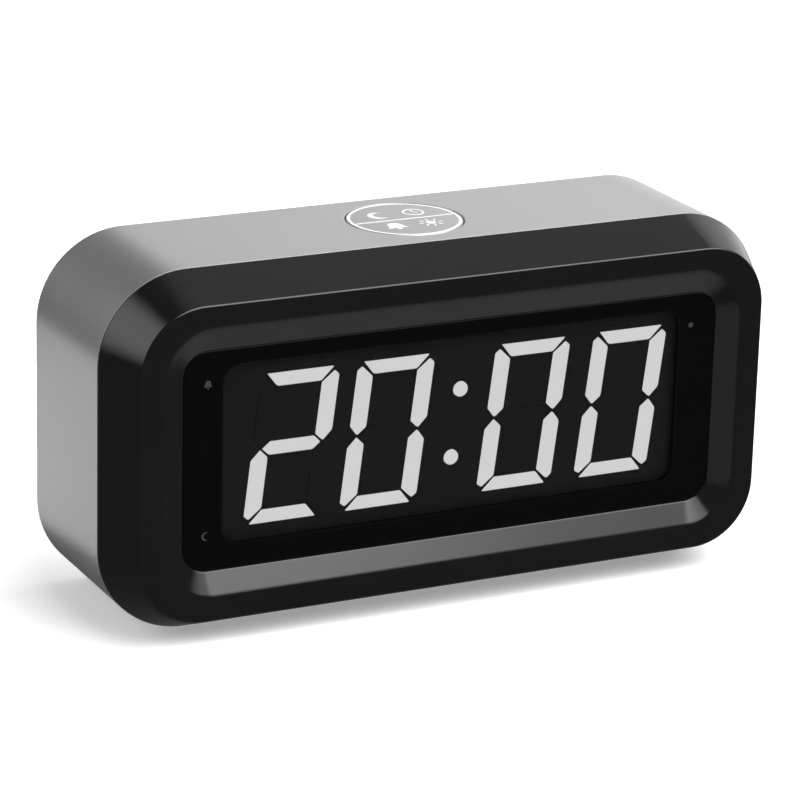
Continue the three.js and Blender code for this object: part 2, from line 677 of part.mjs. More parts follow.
function buildColonDiffuser() {
  const back = block(
    [COLON_X - COLON_HALF_WIDTH, COLON_X + COLON_HALF_WIDTH],
    [depthToY(DIFFUSER_DEPTH), depthToY(DIFFUSER_DEPTH + DIFFUSER_THICKNESS)],
    [MODULE_Z - DIFFUSER_HALF_HEIGHT, MODULE_Z + DIFFUSER_HALF_HEIGHT],
  );
  const dots = COLON_PLACES.map(([x, z]) => (
    barY(COLON_RADIUS, x, z, RAISED_DEPTH, DIFFUSER_DEPTH + DIFFUSER_THICKNESS / 2, ROUND_STEPS)
  ));
  return joined([back, ...dots]);
}

function buildReflector() {
  const back = REFLECTOR_DEPTH_FRONT + REFLECTOR_DEPTH;
  const body = modulePlate(MODULE_HALF_WIDTH, REFLECTOR_DEPTH_FRONT, back);
  const chambers = DIGIT_PLACES.map((x) => block(
    [x - DIFFUSER_HALF_WIDTH + REFLECTOR_WALL, x + DIFFUSER_HALF_WIDTH - REFLECTOR_WALL],
    [depthToY(REFLECTOR_DEPTH_FRONT - PAST), depthToY(back + PAST)],
    [MODULE_Z - DIFFUSER_HALF_HEIGHT + REFLECTOR_WALL, MODULE_Z + DIFFUSER_HALF_HEIGHT - REFLECTOR_WALL],
  ));
  const dots = COLON_PLACES.map(([x, z]) => (
    barY(COLON_RADIUS + REFLECTOR_WALL, x, z, REFLECTOR_DEPTH_FRONT - PAST, back + PAST)
  ));
  return cutBy(body, [...chambers, ...dots]);
}

function buildDisplayBoard() {
  const back = DISPLAY_BOARD_DEPTH + BOARD_THICKNESS;
  const board = modulePlate(DISPLAY_POST_X + POST_RADIUS, DISPLAY_BOARD_DEPTH, back);
  const segmentMiddle = (outline) => outline.reduce(
    (sum, [x, z]) => [sum[0] + x / outline.length, sum[1] + z / outline.length],
    [0, 0],
  );
  const digitLights = DIGIT_PLACES.flatMap((x) => (
    uprightSegments().map((outline) => segmentMiddle(leaned(outline, x)))
  ));
  const lights = [...digitLights, ...COLON_PLACES].map(([x, z]) => block(
    [x - LED_SIZE / 2, x + LED_SIZE / 2],
    [depthToY(DISPLAY_BOARD_DEPTH - LED_HEIGHT), depthToY(DISPLAY_BOARD_DEPTH + BOARD_THICKNESS / 2)],
    [z - LED_SIZE / 2, z + LED_SIZE / 2],
  ));
  const holes = DISPLAY_POSTS.map(([x, z]) => barY(
    BOARD_SCREW.shank + PILOT_PLAY,
    x,
    z,
    DISPLAY_BOARD_DEPTH - PAST,
    back + PAST,
  ));
  return cutBy(joined([board, ...lights]), holes);
}

/** A flat chip lying on a board, between two depths. */
function buildChip(x, z, halfWidth, halfHeight, fromDepth, toDepth) {
  return block(
    [x - halfWidth, x + halfWidth],
    [depthToY(fromDepth), depthToY(toDepth)],
    [z - halfHeight, z + halfHeight],
  );
}

addPiece('segment_mask', buildMask(), MASK_GREY);
DIGIT_PLACES.forEach((x, index) => {
  addPiece(`digit_diffuser_${index + 1}`, buildDigitDiffuser(x), LIT_WHITE);
});
addPiece('colon_diffuser', buildColonDiffuser(), LIT_WHITE);
addPiece('display_reflector', buildReflector(), REFLECTOR_WHITE);
addPiece('display_board', buildDisplayBoard(), BOARD_GREEN);

const DRIVER_CHIP_DEPTH = DISPLAY_BOARD_DEPTH + BOARD_THICKNESS + GAP;
addPiece('driver_chip', buildChip(
  DRIVER_CHIP.x,
  MODULE_Z,
  DRIVER_CHIP.halfWidth,
  DRIVER_CHIP.halfHeight,
  DRIVER_CHIP_DEPTH,
  DRIVER_CHIP_DEPTH + CHIP_HEIGHT,
), SWITCH_BLACK);

DISPLAY_POSTS.forEach(([x, z], index) => {
  const place = [x, depthToY(DISPLAY_BOARD_DEPTH + BOARD_THICKNESS + GAP), z];
  addScrew(`display_screw_${index + 1}`, BOARD_SCREW, place, [0, -1, 0]);
});

// ---------------------------------------------------------------- rear case

const HOOK_PLACES = [-HOOK_SPACING / 2, HOOK_SPACING / 2];
const FOOT_PLACES = [[-1, -1], [1, -1], [1, 1], [-1, 1]].map(([sideX, sideY]) => {
  const frontRoom = sideY < 0 ? SEAM_DEPTH : 0;
  return [
    sideX * (WIDTH / 2 - FOOT_INSET_X),
    sideY * (DEPTH / 2 - FOOT_INSET_Y) - sideY * frontRoom,
  ];
});

/** The places of the sounder's holes: one in the middle and two rings about it. */
function soundHolePlaces() {
  const places = [[SOUNDER_X, CONTROL_Z]];
  [1, 2].forEach((ring) => {
    for (let hole = 0; hole < 6 * ring; hole += 1) {
      const angle = 2 * Math.PI * hole / (6 * ring);
      places.push([
        SOUNDER_X + ring * SOUND_HOLE_PITCH * Math.cos(angle),
        CONTROL_Z + ring * SOUND_HOLE_PITCH * Math.sin(angle),
      ]);
    }
  });
  return places;
}

const SOUND_HOLES = soundHolePlaces();
const BUTTON_PLACES = Array.from({ length: BUTTON_COUNT }, (_, index) => (
  FIRST_BUTTON_X + index * BUTTON_PITCH
));
const SNOOZE_Y = depthToY(SNOOZE_DEPTH);

function buildCaseShell() {
  const outer = loft([
    { outline: caseOutline(0), depth: SEAM_DEPTH + SEAM_GAP },
    { outline: caseOutline(0), depth: DEPTH - BACK_EDGE_RADIUS },
    { outline: caseOutline(BACK_EDGE_RADIUS * ARC_SHARE), depth: DEPTH - BACK_EDGE_RADIUS * ARC_SHARE },
    { outline: caseOutline(BACK_EDGE_RADIUS), depth: DEPTH },
  ], false);
  const inner = loft([
    { outline: caseOutline(WALL), depth: SEAM_DEPTH - PAST },
    { outline: caseOutline(WALL), depth: BACK_INSIDE },
  ], false);
  return outer.subtract(inner);
}

function buildBay() {
  const bayZ = (BAY_BOTTOM + BAY_TOP) / 2;
  const bayHalfHeight = (BAY_TOP - BAY_BOTTOM) / 2;
  const walls = block(
    [-BAY_HALF_WIDTH - BAY_WALL, BAY_HALF_WIDTH + BAY_WALL],
    [depthToY(BAY_FLOOR_DEPTH - BAY_WALL), depthToY(BACK_INSIDE + OVERLAP)],
    [BAY_BOTTOM - BAY_WALL, BAY_TOP + BAY_WALL],
  );
  const flangeReach = DOOR_LAP + DOOR_PLAY + BAY_FLANGE_WIDTH - BAY_WALL;
  const flange = block(
    [-BAY_HALF_WIDTH - flangeReach, BAY_HALF_WIDTH + flangeReach],
    [depthToY(BACK_INSIDE - BAY_FLANGE), depthToY(BACK_INSIDE + OVERLAP)],
    [BAY_BOTTOM - flangeReach, BAY_TOP + flangeReach],
  );
  const inside = block(
    [-BAY_HALF_WIDTH, BAY_HALF_WIDTH],
    [depthToY(BAY_FLOOR_DEPTH), depthToY(DEPTH + PAST)],
    [BAY_BOTTOM, BAY_TOP],
  );
  const doorway = plate(
    DOOR_HALF_WIDTH + DOOR_PLAY,
    bayHalfHeight + DOOR_LAP + DOOR_PLAY,
    DOOR_CORNER_RADIUS + DOOR_PLAY,
    0,
    bayZ,
    BACK_INSIDE,
    DEPTH + PAST,
  );
  const hookSlots = HOOK_PLACES.map((x) => block(
    [x - HOOK_WIDTH / 2 - 2 * DOOR_PLAY, x + HOOK_WIDTH / 2 + 2 * DOOR_PLAY],
    [depthToY(BACK_INSIDE - HOOK_THICKNESS - HOOK_SWING), depthToY(BACK_INSIDE)],
    [DOOR_BOTTOM - HOOK_REACH - HOOK_END_ROOM, DOOR_BOTTOM + HOOK_REACH + HOOK_SWING],
  ));
  const slotX = BAY_HALF_WIDTH - TAB_SLOT / 2;
  const contactSlots = [-slotX, slotX].flatMap((x) => CELL_ROWS.map((z) => block(
    [x - TAB_SLOT / 2, x + TAB_SLOT / 2],
    [depthToY(BAY_FLOOR_DEPTH - BAY_WALL - PAST), depthToY(BAY_FLOOR_DEPTH + PAST)],
    [z - TAB_HALF_HEIGHT - GAP, z + TAB_HALF_HEIGHT + GAP],
  )));
  return { solids: [walls, flange], cuts: [inside, doorway, ...hookSlots, ...contactSlots] };
}

function buildRearCase() {
  const bay = buildBay();
  const wellTop = DEPTH + PAST;
  const wells = BOSS_PLACES.map(([x, z]) => (
    barY(WELL_RADIUS + WELL_WALL, x, z, BOSS_END + GAP, BACK_INSIDE + OVERLAP, ROUND_STEPS)
  ));
  const wellCuts = BOSS_PLACES.flatMap(([x, z]) => [
    barY(WELL_RADIUS, x, z, WELL_FLOOR_DEPTH, wellTop, ROUND_STEPS),
    barY(CASE_SCREW.shank + PILOT_PLAY, x, z, BOSS_END, wellTop),
  ]);
  const controlPosts = CONTROL_POSTS.map((x) => (
    barY(POST_RADIUS, x, CONTROL_Z, CONTROL_BOARD_BACK + GAP, BACK_INSIDE + OVERLAP)
  ));
  const controlPilots = CONTROL_POSTS.map((x) => barY(
    BOARD_SCREW.shank + PILOT_PLAY,
    x,
    CONTROL_Z,
    CONTROL_BOARD_BACK,
    CONTROL_BOARD_FRONT + BOARD_SCREW.length,
  ));
  const snoozePosts = [-SNOOZE_POST_X, SNOOZE_POST_X].map((x) => (
    barZ(POST_RADIUS, x, SNOOZE_Y, SNOOZE_BOARD_TOP + GAP, CASE_TOP - WALL + OVERLAP)
  ));
  const snoozePilots = [-SNOOZE_POST_X, SNOOZE_POST_X].map((x) => barZ(
    BOARD_SCREW.shank + PILOT_PLAY,
    x,
    SNOOZE_Y,
    SNOOZE_BOARD_TOP,
    SNOOZE_BOARD_TOP - BOARD_THICKNESS + BOARD_SCREW.length,
  ));
  const sounderRing = barY(
    SOUNDER_RADIUS + GAP + SOUNDER_RING,
    SOUNDER_X,
    CONTROL_Z,
    BACK_INSIDE - SOUNDER_HEIGHT * SOUNDER_RING_SHARE,
    BACK_INSIDE + OVERLAP,
    ROUND_STEPS,
  );
  const sounderSeat = barY(
    SOUNDER_RADIUS + GAP,
    SOUNDER_X,
    CONTROL_Z,
    BACK_INSIDE - SOUNDER_HEIGHT,
    BACK_INSIDE,
    ROUND_STEPS,
  );
  const soundHoles = SOUND_HOLES.map(([x, z]) => (
    barY(SOUND_HOLE_RADIUS, x, z, BACK_INSIDE - PAST, DEPTH + PAST)
  ));
  const controlRecess = plate(
    (CONTROL_RIGHT - CONTROL_LEFT) / 2,
    CONTROL_HALF_HEIGHT,
    CONTROL_CORNER_RADIUS,
    (CONTROL_RIGHT + CONTROL_LEFT) / 2,
    CONTROL_Z,
    DEPTH - CONTROL_RECESS,
    DEPTH + PAST,
  );
  const buttonHoles = BUTTON_PLACES.map((x) => (
    barY(BUTTON_RADIUS + BUTTON_PLAY, x, CONTROL_Z, BACK_INSIDE - PAST, DEPTH + PAST, ROUND_STEPS)
  ));
  const slideSlot = block(
    [SLIDE_X - KNOB_LENGTH / 2 - BUTTON_PLAY, SLIDE_X + SLIDE_TRAVEL + KNOB_LENGTH / 2 + BUTTON_PLAY],
    [depthToY(BACK_INSIDE - PAST), depthToY(DEPTH + PAST)],
    [CONTROL_Z - KNOB_HEIGHT / 2 - BUTTON_PLAY, CONTROL_Z + KNOB_HEIGHT / 2 + BUTTON_PLAY],
  );
  const snoozeHole = barZ(
    SNOOZE_RADIUS + SNOOZE_PLAY,
    0,
    SNOOZE_Y,
    CASE_TOP - WALL - PAST,
    CASE_TOP + PAST,
    2 * ROUND_STEPS,
  );
  const footRecesses = FOOT_PLACES.map(([x, y]) => (
    barZ(FOOT_RADIUS + GAP, x, y, CASE_BOTTOM - PAST, CASE_BOTTOM + FOOT_RECESS, ROUND_STEPS)
  ));
  const shell = joined([buildCaseShell(), ...bay.solids, ...wells, sounderRing]);
  const opened = cutBy(shell, [...bay.cuts, ...wellCuts, sounderSeat]);
  const posted = joined([opened, ...controlPosts, ...snoozePosts]);
  return cutBy(posted, [
    ...controlPilots,
    ...snoozePilots,
    ...soundHoles,
    controlRecess,
    ...buttonHoles,
    slideSlot,
    snoozeHole,
    ...footRecesses,
  ]);
}

addPiece('rear_case', buildRearCase(), CASE_GREY);

FOOT_PLACES.forEach(([x, y], index) => {
  const foot = barZ(FOOT_RADIUS, x, y, 0, CASE_BOTTOM + FOOT_RECESS - GAP, ROUND_STEPS);
  addPiece(`rubber_foot_${index + 1}`, foot, FOOT_RUBBER);
});

BOSS_PLACES.forEach(([x, z], index) => {
  const place = [x, depthToY(WELL_FLOOR_DEPTH + GAP), z];
  addScrew(`case_screw_${index + 1}`, CASE_SCREW, place, [0, -1, 0]);
});

// ---------------------------------------------------------------- battery bay

function cellGeometry() {
  const shoulder = CELL_LENGTH - NUB_LENGTH;
  const profile = [
    [0, 0],
    [CELL_RADIUS - CELL_END_CHAMFER, 0],
    [CELL_RADIUS, CELL_END_CHAMFER],
    [CELL_RADIUS, shoulder - CELL_SHOULDER],
    [CELL_RADIUS - CELL_SHOULDER, shoulder],
    [NUB_RADIUS, shoulder],
    [NUB_RADIUS, CELL_LENGTH],
    [0, CELL_LENGTH],
  ].map(([radius, height]) => new THREE.Vector2(radius, height));
  return toGeometry(toSolid(new THREE.LatheGeometry(profile, ROUND_STEPS)));
}

/** Adds a cell whose flat end is at x and whose nub points along the given side. */
function addCell(name, x, side, z) {
  const mesh = new THREE.Mesh(cellGeometry(), CELL_JACKET);
  mesh.name = name;
  mesh.position.set(x, depthToY(CELL_DEPTH), z);
  mesh.rotation.z = -side * Math.PI / 2;
  clock.add(mesh);
}

const NUB_END = BAY_HALF_WIDTH - CONTACT_THICKNESS - 2 * GAP;
const [LOWER_ROW, UPPER_ROW] = CELL_ROWS;
addCell('aa_cell_1', CELL_LENGTH - NUB_END, -1, LOWER_ROW);
addCell('aa_cell_2', 2 * CELL_LENGTH + GAP - NUB_END, -1, LOWER_ROW);
addCell('aa_cell_3', NUB_END - 2 * CELL_LENGTH - GAP, 1, UPPER_ROW);
addCell('aa_cell_4', NUB_END - CELL_LENGTH, 1, UPPER_ROW);

const CONTACT_HALF_HEIGHT = CELL_RADIUS * CONTACT_SHARE;

/** A sprung metal contact on a bay's end wall, with a solder tab through the bay's floor. */
function buildContact(side, zRange, tabZ) {
  const outer = BAY_HALF_WIDTH - GAP / 2;
  const inner = outer - CONTACT_THICKNESS;
  const xRange = side > 0 ? [inner, outer] : [-outer, -inner];
  const face = block(
    xRange,
    [depthToY(CELL_DEPTH - CONTACT_HALF_HEIGHT), depthToY(CELL_DEPTH + CONTACT_HALF_HEIGHT)],
    zRange,
  );
  const tab = block(
    xRange,
    [depthToY(TAB_DEPTH), depthToY(CELL_DEPTH)],
    [tabZ - TAB_HALF_HEIGHT, tabZ + TAB_HALF_HEIGHT],
  );
  return joined([face, tab]);
}

addPiece('bridge_contact', buildContact(
  -1,
  [LOWER_ROW - CONTACT_HALF_HEIGHT, UPPER_ROW + CONTACT_HALF_HEIGHT],
  LOWER_ROW,
), SPRING_STEEL);
addPiece('negative_contact', buildContact(
  1,
  [LOWER_ROW - CONTACT_HALF_HEIGHT, LOWER_ROW + CONTACT_HALF_HEIGHT],
  LOWER_ROW,
), SPRING_STEEL);
addPiece('positive_contact', buildContact(
  1,
  [UPPER_ROW - CONTACT_HALF_HEIGHT, UPPER_ROW + CONTACT_HALF_HEIGHT],
  UPPER_ROW,
), SPRING_STEEL);

/** A conical spring that presses a cell's flat end, its wide end on the contact. */
function buildBatterySpring(side, z) {
  const start = BAY_HALF_WIDTH - CONTACT_THICKNESS - GAP - SPRING_WIRE_RADIUS - GAP / 2;
  const length = SPRING_SPACE - 2 * SPRING_WIRE_RADIUS - 2 * GAP;
  const steps = SPRING_TURNS * SPRING_STEPS;
  const points = [];
  for (let step = 0; step <= steps; step += 1) {
    const along = step / steps;
    const radius = SPRING_WIDE_RADIUS + (SPRING_NARROW_RADIUS - SPRING_WIDE_RADIUS) * along;
    const angle = 2 * Math.PI * SPRING_TURNS * along;
    points.push([
      side * (start - length * along),
      depthToY(CELL_DEPTH) + radius * Math.cos(angle),
      z + radius * Math.sin(angle),
    ]);
  }
  return wire(points, SPRING_WIRE_RADIUS, SPRING_SIDES, steps);
}

addPiece('battery_spring_1', buildBatterySpring(1, LOWER_ROW), SPRING_STEEL);
addPiece('battery_spring_2', buildBatterySpring(-1, UPPER_ROW), SPRING_STEEL);

function buildDoor() {
  const doorZ = (DOOR_BOTTOM + DOOR_TOP) / 2;
  const front = DEPTH - DOOR_THICKNESS;
  const halfHeight = (DOOR_TOP - DOOR_BOTTOM) / 2;
  const panel = plate(DOOR_HALF_WIDTH, halfHeight, DOOR_CORNER_RADIUS, 0, doorZ, front, DEPTH);
  const hookBack = BACK_INSIDE - GAP;
  const hooks = HOOK_PLACES.flatMap((x) => {
    const xRange = [x - HOOK_WIDTH / 2, x + HOOK_WIDTH / 2];
    const yRange = [depthToY(hookBack - HOOK_THICKNESS), depthToY(hookBack)];
    return [
      block(xRange, yRange, [DOOR_BOTTOM - HOOK_REACH, DOOR_BOTTOM + HOOK_REACH]),
      block(
        xRange,
        [yRange[0], depthToY(front + OVERLAP)],
        [DOOR_BOTTOM + HOOK_ROOT, DOOR_BOTTOM + HOOK_REACH],
      ),
    ];
  });
  const slits = [-LATCH_HALF_WIDTH, LATCH_HALF_WIDTH].map((x) => block(
    [x - LATCH_SLIT / 2, x + LATCH_SLIT / 2],
    [depthToY(front - PAST), depthToY(DEPTH + PAST)],
    [DOOR_TOP - LATCH_LENGTH, DOOR_TOP + PAST],
  ));
  const gripHalfWidth = LATCH_HALF_WIDTH - GRIP_MARGIN;
  const grips = Array.from({ length: GRIP_COUNT }, (_, index) => {
    const bottom = DOOR_TOP - FIRST_GRIP - GRIP_PITCH * index;
    return block(
      [-gripHalfWidth, gripHalfWidth],
      [depthToY(DEPTH - GRIP_DEPTH), depthToY(DEPTH + PAST)],
      [bottom, bottom + GRIP_WIDTH],
    );
  });
  return cutBy(joined([panel, ...hooks]), [...slits, ...grips]);
}

addPiece('battery_door', buildDoor(), CASE_GREY);

// ---------------------------------------------------------------- snooze button

function buildSnoozeButton() {
  return joined([
    barZ(SNOOZE_RADIUS, 0, SNOOZE_Y, SNOOZE_FLANGE_TOP - SNOOZE_FLANGE / 2, CASE_TOP, 2 * ROUND_STEPS),
    barZ(
      SNOOZE_FLANGE_RADIUS,
      0,
      SNOOZE_Y,
      SNOOZE_FLANGE_TOP - SNOOZE_FLANGE,
      SNOOZE_FLANGE_TOP,
      2 * ROUND_STEPS,
    ),
    barZ(STEM_RADIUS, 0, SNOOZE_Y, SNOOZE_STEM_END, SNOOZE_FLANGE_TOP - SNOOZE_FLANGE / 2),
  ]);
}

function buildSnoozeBoard() {
  const board = block(
    [-SNOOZE_BOARD_HALF_WIDTH, SNOOZE_BOARD_HALF_WIDTH],
    [SNOOZE_Y - SNOOZE_BOARD_FRONT, SNOOZE_Y + SNOOZE_BOARD_REAR],
    [SNOOZE_BOARD_TOP - BOARD_THICKNESS, SNOOZE_BOARD_TOP],
  );
  const holes = [-SNOOZE_POST_X, SNOOZE_POST_X].map((x) => barZ(
    BOARD_SCREW.shank + PILOT_PLAY,
    x,
    SNOOZE_Y,
    SNOOZE_BOARD_TOP - BOARD_THICKNESS - PAST,
    SNOOZE_BOARD_TOP + PAST,
  ));
  return cutBy(board, holes);
}

function buildSnoozeSwitch() {
  const bottom = SNOOZE_BOARD_TOP + GAP;
  return joined([
    block(
      [-SWITCH_SIZE / 2, SWITCH_SIZE / 2],
      [SNOOZE_Y - SWITCH_SIZE / 2, SNOOZE_Y + SWITCH_SIZE / 2],
      [bottom, bottom + SWITCH_HEIGHT],
    ),
    barZ(PLUNGER_RADIUS, 0, SNOOZE_Y, bottom + PLUNGER_ROOT, bottom + SWITCH_HEIGHT + PLUNGER_HEIGHT),
  ]);
}

addPiece('snooze_button', buildSnoozeButton(), CASE_GREY);
addPiece('snooze_board', buildSnoozeBoard(), BOARD_GREEN);
addPiece('snooze_switch', buildSnoozeSwitch(), SWITCH_BLACK);
[-SNOOZE_POST_X, SNOOZE_POST_X].forEach((x, index) => {
  const place = [x, SNOOZE_Y, SNOOZE_BOARD_TOP - BOARD_THICKNESS - GAP];
  addScrew(`snooze_screw_${index + 1}`, BOARD_SCREW, place, [0, 0, 1]);
});

// ---------------------------------------------------------------- rear controls

const CONTROL_BOARD_LEFT = CONTROL_LEFT - CONTROL_BOARD_END;
const CONTROL_BOARD_RIGHT = CONTROL_RIGHT + CONTROL_BOARD_END;

function buildControlBoard() {
  const board = block(
    [CONTROL_BOARD_LEFT, CONTROL_BOARD_RIGHT],
    [depthToY(CONTROL_BOARD_FRONT), depthToY(CONTROL_BOARD_BACK)],
    [CONTROL_Z - CONTROL_BOARD_HALF_HEIGHT, CONTROL_Z + CONTROL_BOARD_HALF_HEIGHT],
  );
  const holes = CONTROL_POSTS.map((x) => barY(
    BOARD_SCREW.shank + PILOT_PLAY,
    x,
    CONTROL_Z,
    CONTROL_BOARD_FRONT - PAST,
    CONTROL_BOARD_BACK + PAST,
  ));
  return cutBy(board, holes);
}

function buildRearButton(x) {
  const flangeFront = FLANGE_BACK_DEPTH - BUTTON_FLANGE;
  return joined([
    barY(BUTTON_RADIUS, x, CONTROL_Z, flangeFront + OVERLAP, DEPTH - BUTTON_SINK, ROUND_STEPS),
    barY(BUTTON_RADIUS + BUTTON_FLANGE_LAP, x, CONTROL_Z, flangeFront, FLANGE_BACK_DEPTH, ROUND_STEPS),
    barY(STEM_RADIUS, x, CONTROL_Z, STEM_END_DEPTH, FLANGE_BACK_DEPTH),
  ]);
}

function buildTactSwitch(x) {
  const front = CONTROL_BOARD_BACK + GAP;
  return joined([
    buildChip(x, CONTROL_Z, SWITCH_SIZE / 2, SWITCH_SIZE / 2, front, front + SWITCH_HEIGHT),
    barY(PLUNGER_RADIUS, x, CONTROL_Z, front + PLUNGER_ROOT, front + SWITCH_HEIGHT + PLUNGER_HEIGHT),
  ]);
}

function buildSlideKnob() {
  const flangeFront = FLANGE_BACK_DEPTH - BUTTON_FLANGE;
  return joined([
    buildChip(SLIDE_X, CONTROL_Z, KNOB_LENGTH / 2, KNOB_HEIGHT / 2, flangeFront, DEPTH - BUTTON_SINK),
    buildChip(
      SLIDE_X,
      CONTROL_Z,
      KNOB_LENGTH / 2 + KNOB_FLANGE,
      KNOB_HEIGHT / 2 + KNOB_FLANGE_LAP,
      flangeFront,
      FLANGE_BACK_DEPTH,
    ),
    buildChip(SLIDE_X, CONTROL_Z, ...KNOB_TONGUE, STEM_END_DEPTH, FLANGE_BACK_DEPTH),
  ]);
}

const REAR_BUTTONS = ['time_button', 'alarm_button', 'up_button', 'down_button'];
addPiece('control_board', buildControlBoard(), BOARD_GREEN);
REAR_BUTTONS.forEach((name, index) => {
  addPiece(name, buildRearButton(BUTTON_PLACES[index]), BUTTON_BLACK);
  addPiece(`tact_switch_${index + 1}`, buildTactSwitch(BUTTON_PLACES[index]), SWITCH_BLACK);
});
addPiece('slide_knob', buildSlideKnob(), BUTTON_BLACK);

const SLIDE_SWITCH_FRONT = CONTROL_BOARD_BACK + GAP;
addPiece('slide_switch', buildChip(
  SLIDE_X + SLIDE_TRAVEL / 2,
  CONTROL_Z,
  KNOB_LENGTH / 2 + SLIDE_TRAVEL,
  KNOB_HEIGHT,
  SLIDE_SWITCH_FRONT,
  STEM_END_DEPTH - GAP,
), SWITCH_BLACK);

const MAIN_CHIP_BACK = CONTROL_BOARD_FRONT - GAP;
addPiece('main_chip', buildChip(
  MAIN_CHIP.x,
  CONTROL_Z - MAIN_CHIP.drop,
  MAIN_CHIP.halfSize,
  MAIN_CHIP.halfSize,
  MAIN_CHIP_BACK - CHIP_HEIGHT,
  MAIN_CHIP_BACK,
), SWITCH_BLACK);
addPiece('quartz_crystal', barY(
  CRYSTAL.radius,
  CRYSTAL.x,
  CONTROL_Z,
  MAIN_CHIP_BACK - CRYSTAL.length,
  MAIN_CHIP_BACK,
), SPRING_STEEL);

CONTROL_POSTS.forEach((x, index) => {
  const place = [x, depthToY(CONTROL_BOARD_FRONT - GAP), CONTROL_Z];
  addScrew(`control_screw_${index + 1}`, BOARD_SCREW, place, [0, 1, 0]);
});

addPiece('sounder', barY(
  SOUNDER_RADIUS,
  SOUNDER_X,
  CONTROL_Z,
  BACK_INSIDE - SOUNDER_HEIGHT,
  BACK_INSIDE - GAP,
  ROUND_STEPS,
), SWITCH_BLACK);

// ---------------------------------------------------------------- wiring

function buildRibbon() {
  const start = DISPLAY_BOARD_DEPTH + BOARD_THICKNESS + GAP;
  const end = CONTROL_BOARD_FRONT - GAP;
  const { x, halfWidth, sag, halfThickness, steps } = RIBBON;
  const z = CONTROL_Z - CONTROL_BOARD_HALF_HEIGHT / 2 - RIBBON.drop;
  const upper = [];
  const lower = [];
  for (let step = 0; step <= steps; step += 1) {
    const along = step / steps;
    const drop = sag * Math.sin(Math.PI * along);
    const depth = start + (end - start) * along;
    upper.push([depthToY(depth), z - drop + halfThickness]);
    lower.push([depthToY(depth), z - drop - halfThickness]);
  }
  const outline = [...upper, ...lower.reverse()];
  const shape = new THREE.Shape(outline.map(([y, height]) => new THREE.Vector2(y, height)));
  const geometry = new THREE.ExtrudeGeometry(shape, { depth: 2 * halfWidth, bevelEnabled: false });
  geometry.rotateY(Math.PI / 2);
  geometry.rotateX(Math.PI / 2);
  geometry.translate(x - halfWidth, 0, 0);
  return toSolid(geometry);
}

const LEAD_END_DEPTH = CONTROL_BOARD_FRONT - GAP - LEAD_RADIUS;

/** A lead from a battery contact's solder tab up to the control board. */
function buildBatteryLead(tabZ, endX) {
  const tabX = BAY_HALF_WIDTH - GAP;
  const endZ = CONTROL_Z - CONTROL_BOARD_HALF_HEIGHT / 2;
  const { bow, rise, clearance, dip } = BATTERY_LEAD;
  return wire([
    [tabX, depthToY(TAB_DEPTH - GAP - LEAD_RADIUS), tabZ],
    [tabX - GAP * 4, depthToY(TAB_DEPTH - bow), tabZ + rise],
    [(tabX + endX) / 2, depthToY(TAB_DEPTH - bow - clearance / 2), BAY_TOP + BAY_WALL + clearance],
    [endX, depthToY(LEAD_END_DEPTH - bow), endZ - dip],
    [endX, depthToY(LEAD_END_DEPTH), endZ],
  ], LEAD_RADIUS, LEAD_SIDES, BATTERY_LEAD.steps);
}

/** A pair of sounder leads, sheathed together. */
function buildSounderLead() {
  const front = BACK_INSIDE - SOUNDER_HEIGHT;
  const { out, bow, drop, past, dip, end, endDrop, steps } = SOUNDER_LEAD;
  return wire([
    [SOUNDER_X, depthToY(front - GAP - LEAD_RADIUS), CONTROL_Z],
    [SOUNDER_X + out, depthToY(front - bow), CONTROL_Z - drop],
    [CONTROL_BOARD_LEFT - past, depthToY(LEAD_END_DEPTH - dip), CONTROL_Z - bow],
    [CONTROL_BOARD_LEFT + end, depthToY(LEAD_END_DEPTH), CONTROL_Z - endDrop],
  ], LEAD_RADIUS, LEAD_SIDES, steps);
}

addPiece('ribbon_cable', buildRibbon(), RIBBON_GREY);
const LEAD_STEP = BATTERY_LEAD.endInset;
addPiece('positive_lead', buildBatteryLead(UPPER_ROW, CONTROL_RIGHT - LEAD_STEP), LEAD_RED);
addPiece('negative_lead', buildBatteryLead(LOWER_ROW, CONTROL_RIGHT - 2 * LEAD_STEP), LEAD_BLACK);
addPiece('sounder_lead', buildSounderLead(), LEAD_BLACK);

export default clock;
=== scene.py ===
"""Desk alarm clock: the finished looks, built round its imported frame.

The frame gives every place and joint. This script adds the smooth shells, the lit display, the
prints and all the surface finishes. Sizes are in millimetres until a mesh is made.
"""

from __future__ import annotations

import logging
import math
from dataclasses import dataclass
from enum import Enum
from typing import Callable, Iterable, Sequence, Union

import bmesh
import bpy
from mathutils import Matrix, Vector

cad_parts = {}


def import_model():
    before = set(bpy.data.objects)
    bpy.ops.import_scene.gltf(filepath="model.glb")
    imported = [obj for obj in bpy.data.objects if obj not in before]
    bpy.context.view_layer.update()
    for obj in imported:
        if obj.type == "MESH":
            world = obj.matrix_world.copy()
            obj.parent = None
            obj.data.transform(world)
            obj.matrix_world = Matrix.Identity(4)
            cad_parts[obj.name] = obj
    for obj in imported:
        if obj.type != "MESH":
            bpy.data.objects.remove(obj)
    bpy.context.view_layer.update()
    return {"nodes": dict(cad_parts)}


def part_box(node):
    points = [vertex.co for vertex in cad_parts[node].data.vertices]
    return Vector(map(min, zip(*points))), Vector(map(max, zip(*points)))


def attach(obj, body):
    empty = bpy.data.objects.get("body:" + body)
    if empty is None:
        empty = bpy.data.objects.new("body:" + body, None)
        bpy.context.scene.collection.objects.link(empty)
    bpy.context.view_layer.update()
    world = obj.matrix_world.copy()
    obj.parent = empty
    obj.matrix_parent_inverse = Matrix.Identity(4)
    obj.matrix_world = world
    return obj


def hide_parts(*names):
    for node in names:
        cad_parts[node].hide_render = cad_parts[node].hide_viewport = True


LOG = logging.getLogger("alarm_clock")

